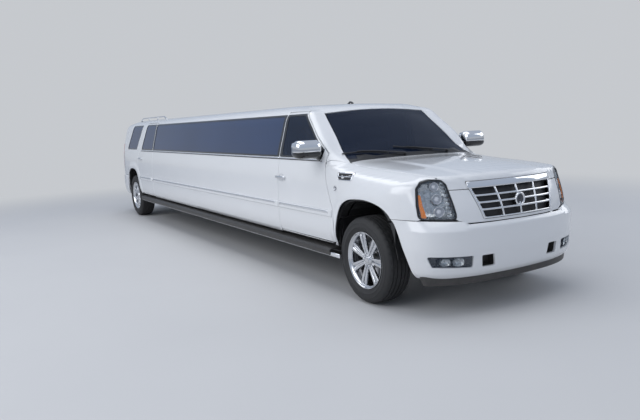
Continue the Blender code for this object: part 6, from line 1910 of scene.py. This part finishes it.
def backdrop_material():
    mat = bpy.data.materials.new("pale_floor")
    mat.use_nodes = True
    tree = mat.node_tree
    out = tree.nodes["Principled BSDF"]
    noise = tree.nodes.new("ShaderNodeTexNoise")
    noise.inputs["Scale"].default_value = 0.6
    place = tree.nodes.new("ShaderNodeTexCoord")
    tree.links.new(place.outputs["Object"], noise.inputs["Vector"])
    mix = tree.nodes.new("ShaderNodeMix")
    mix.data_type = "RGBA"
    mix.inputs["A"].default_value = (0.58, 0.58, 0.585, 1)
    mix.inputs["B"].default_value = (0.62, 0.62, 0.62, 1)
    tree.links.new(noise.outputs["Fac"], mix.inputs["Factor"])
    tree.links.new(mix.outputs["Result"], out.inputs["Base Color"])
    out.inputs["Roughness"].default_value = 0.75
    # far from the vehicle the floor runs into the backdrop's colour
    far = tree.nodes.new("ShaderNodeVectorMath")
    far.operation = "LENGTH"
    tree.links.new(place.outputs["Object"], far.inputs[0])
    fade = tree.nodes.new("ShaderNodeMapRange")
    fade.interpolation_type = "SMOOTHSTEP"
    fade.inputs["From Min"].default_value = 5.6
    fade.inputs["From Max"].default_value = 11.5
    tree.links.new(far.outputs["Value"], fade.inputs["Value"])
    path = tree.nodes.new("ShaderNodeLightPath")
    seen = tree.nodes.new("ShaderNodeMath")
    seen.operation = "MULTIPLY"
    tree.links.new(fade.outputs["Result"], seen.inputs[0])
    tree.links.new(path.outputs["Is Camera Ray"], seen.inputs[1])
    glow = tree.nodes.new("ShaderNodeEmission")
    glow.inputs["Color"].default_value = BACKDROP
    both = tree.nodes.new("ShaderNodeMixShader")
    tree.links.new(seen.outputs["Value"], both.inputs["Fac"])
    tree.links.new(out.outputs["BSDF"], both.inputs[1])
    tree.links.new(glow.outputs["Emission"], both.inputs[2])
    tree.links.new(both.outputs["Shader"], tree.nodes["Material Output"].inputs["Surface"])
    return mat


floor = add_mesh("floor", [(-400, -400, 0), (400, -400, 0), (400, 400, 0), (-400, 400, 0)], [(0, 1, 2, 3)])
floor.data.materials.append(backdrop_material())

world = bpy.data.worlds.new("sky")
bpy.context.scene.world = world
world.use_nodes = True
tree = world.node_tree
tree.nodes.clear()
place = tree.nodes.new("ShaderNodeTexCoord")
split_z = tree.nodes.new("ShaderNodeSeparateXYZ")
tree.links.new(place.outputs["Generated"], split_z.inputs["Vector"])
ramp = tree.nodes.new("ShaderNodeValToRGB")
stops = [(0.0, (0.30, 0.30, 0.30)), (0.49, (0.34, 0.34, 0.35)), (0.51, (0.62, 0.66, 0.72)),
         (0.62, (0.50, 0.58, 0.72)), (1.0, (0.62, 0.68, 0.80))]
span = tree.nodes.new("ShaderNodeMapRange")
span.inputs["From Min"].default_value = -1.0
tree.links.new(split_z.outputs["Z"], span.inputs["Value"])
tree.links.new(span.outputs["Result"], ramp.inputs["Fac"])
while len(ramp.color_ramp.elements) < len(stops):
    ramp.color_ramp.elements.new(0.5)
for element, (at, colour) in zip(ramp.color_ramp.elements, stops):
    element.position = at
    element.color = (*colour, 1)
light = tree.nodes.new("ShaderNodeBackground")
light.inputs["Strength"].default_value = 0.72
tree.links.new(ramp.outputs["Color"], light.inputs["Color"])
seen = tree.nodes.new("ShaderNodeBackground")
seen.inputs["Color"].default_value = BACKDROP
path = tree.nodes.new("ShaderNodeLightPath")
pick = tree.nodes.new("ShaderNodeMixShader")
tree.links.new(path.outputs["Is Camera Ray"], pick.inputs["Fac"])
tree.links.new(light.outputs["Background"], pick.inputs[1])
tree.links.new(seen.outputs["Background"], pick.inputs[2])
ending = tree.nodes.new("ShaderNodeOutputWorld")
tree.links.new(pick.outputs["Shader"], ending.inputs["Surface"])


def lamp(name, place, target, size, power):
    data = bpy.data.lights.new(name, "AREA")
    data.shape = "RECTANGLE"
    data.size, data.size_y = size
    data.energy = power
    obj = bpy.data.objects.new(name, data)
    bpy.context.scene.collection.objects.link(obj)
    obj.location = place
    obj.rotation_euler = (Vector(target) - Vector(place)).to_track_quat("-Z", "Y").to_euler()
    return obj


lamp("key", (-11, -2, 7), (0, -1.0, 0.8), (14, 7), 640)
lamp("top", (-1, -1, 9), (0, -1, 0), (14, 6), 330)
lamp("fill", (12, -6, 6), (0, -2, 0.8), (10, 6), 260)
bpy.context.scene.view_settings.view_transform = "Standard"
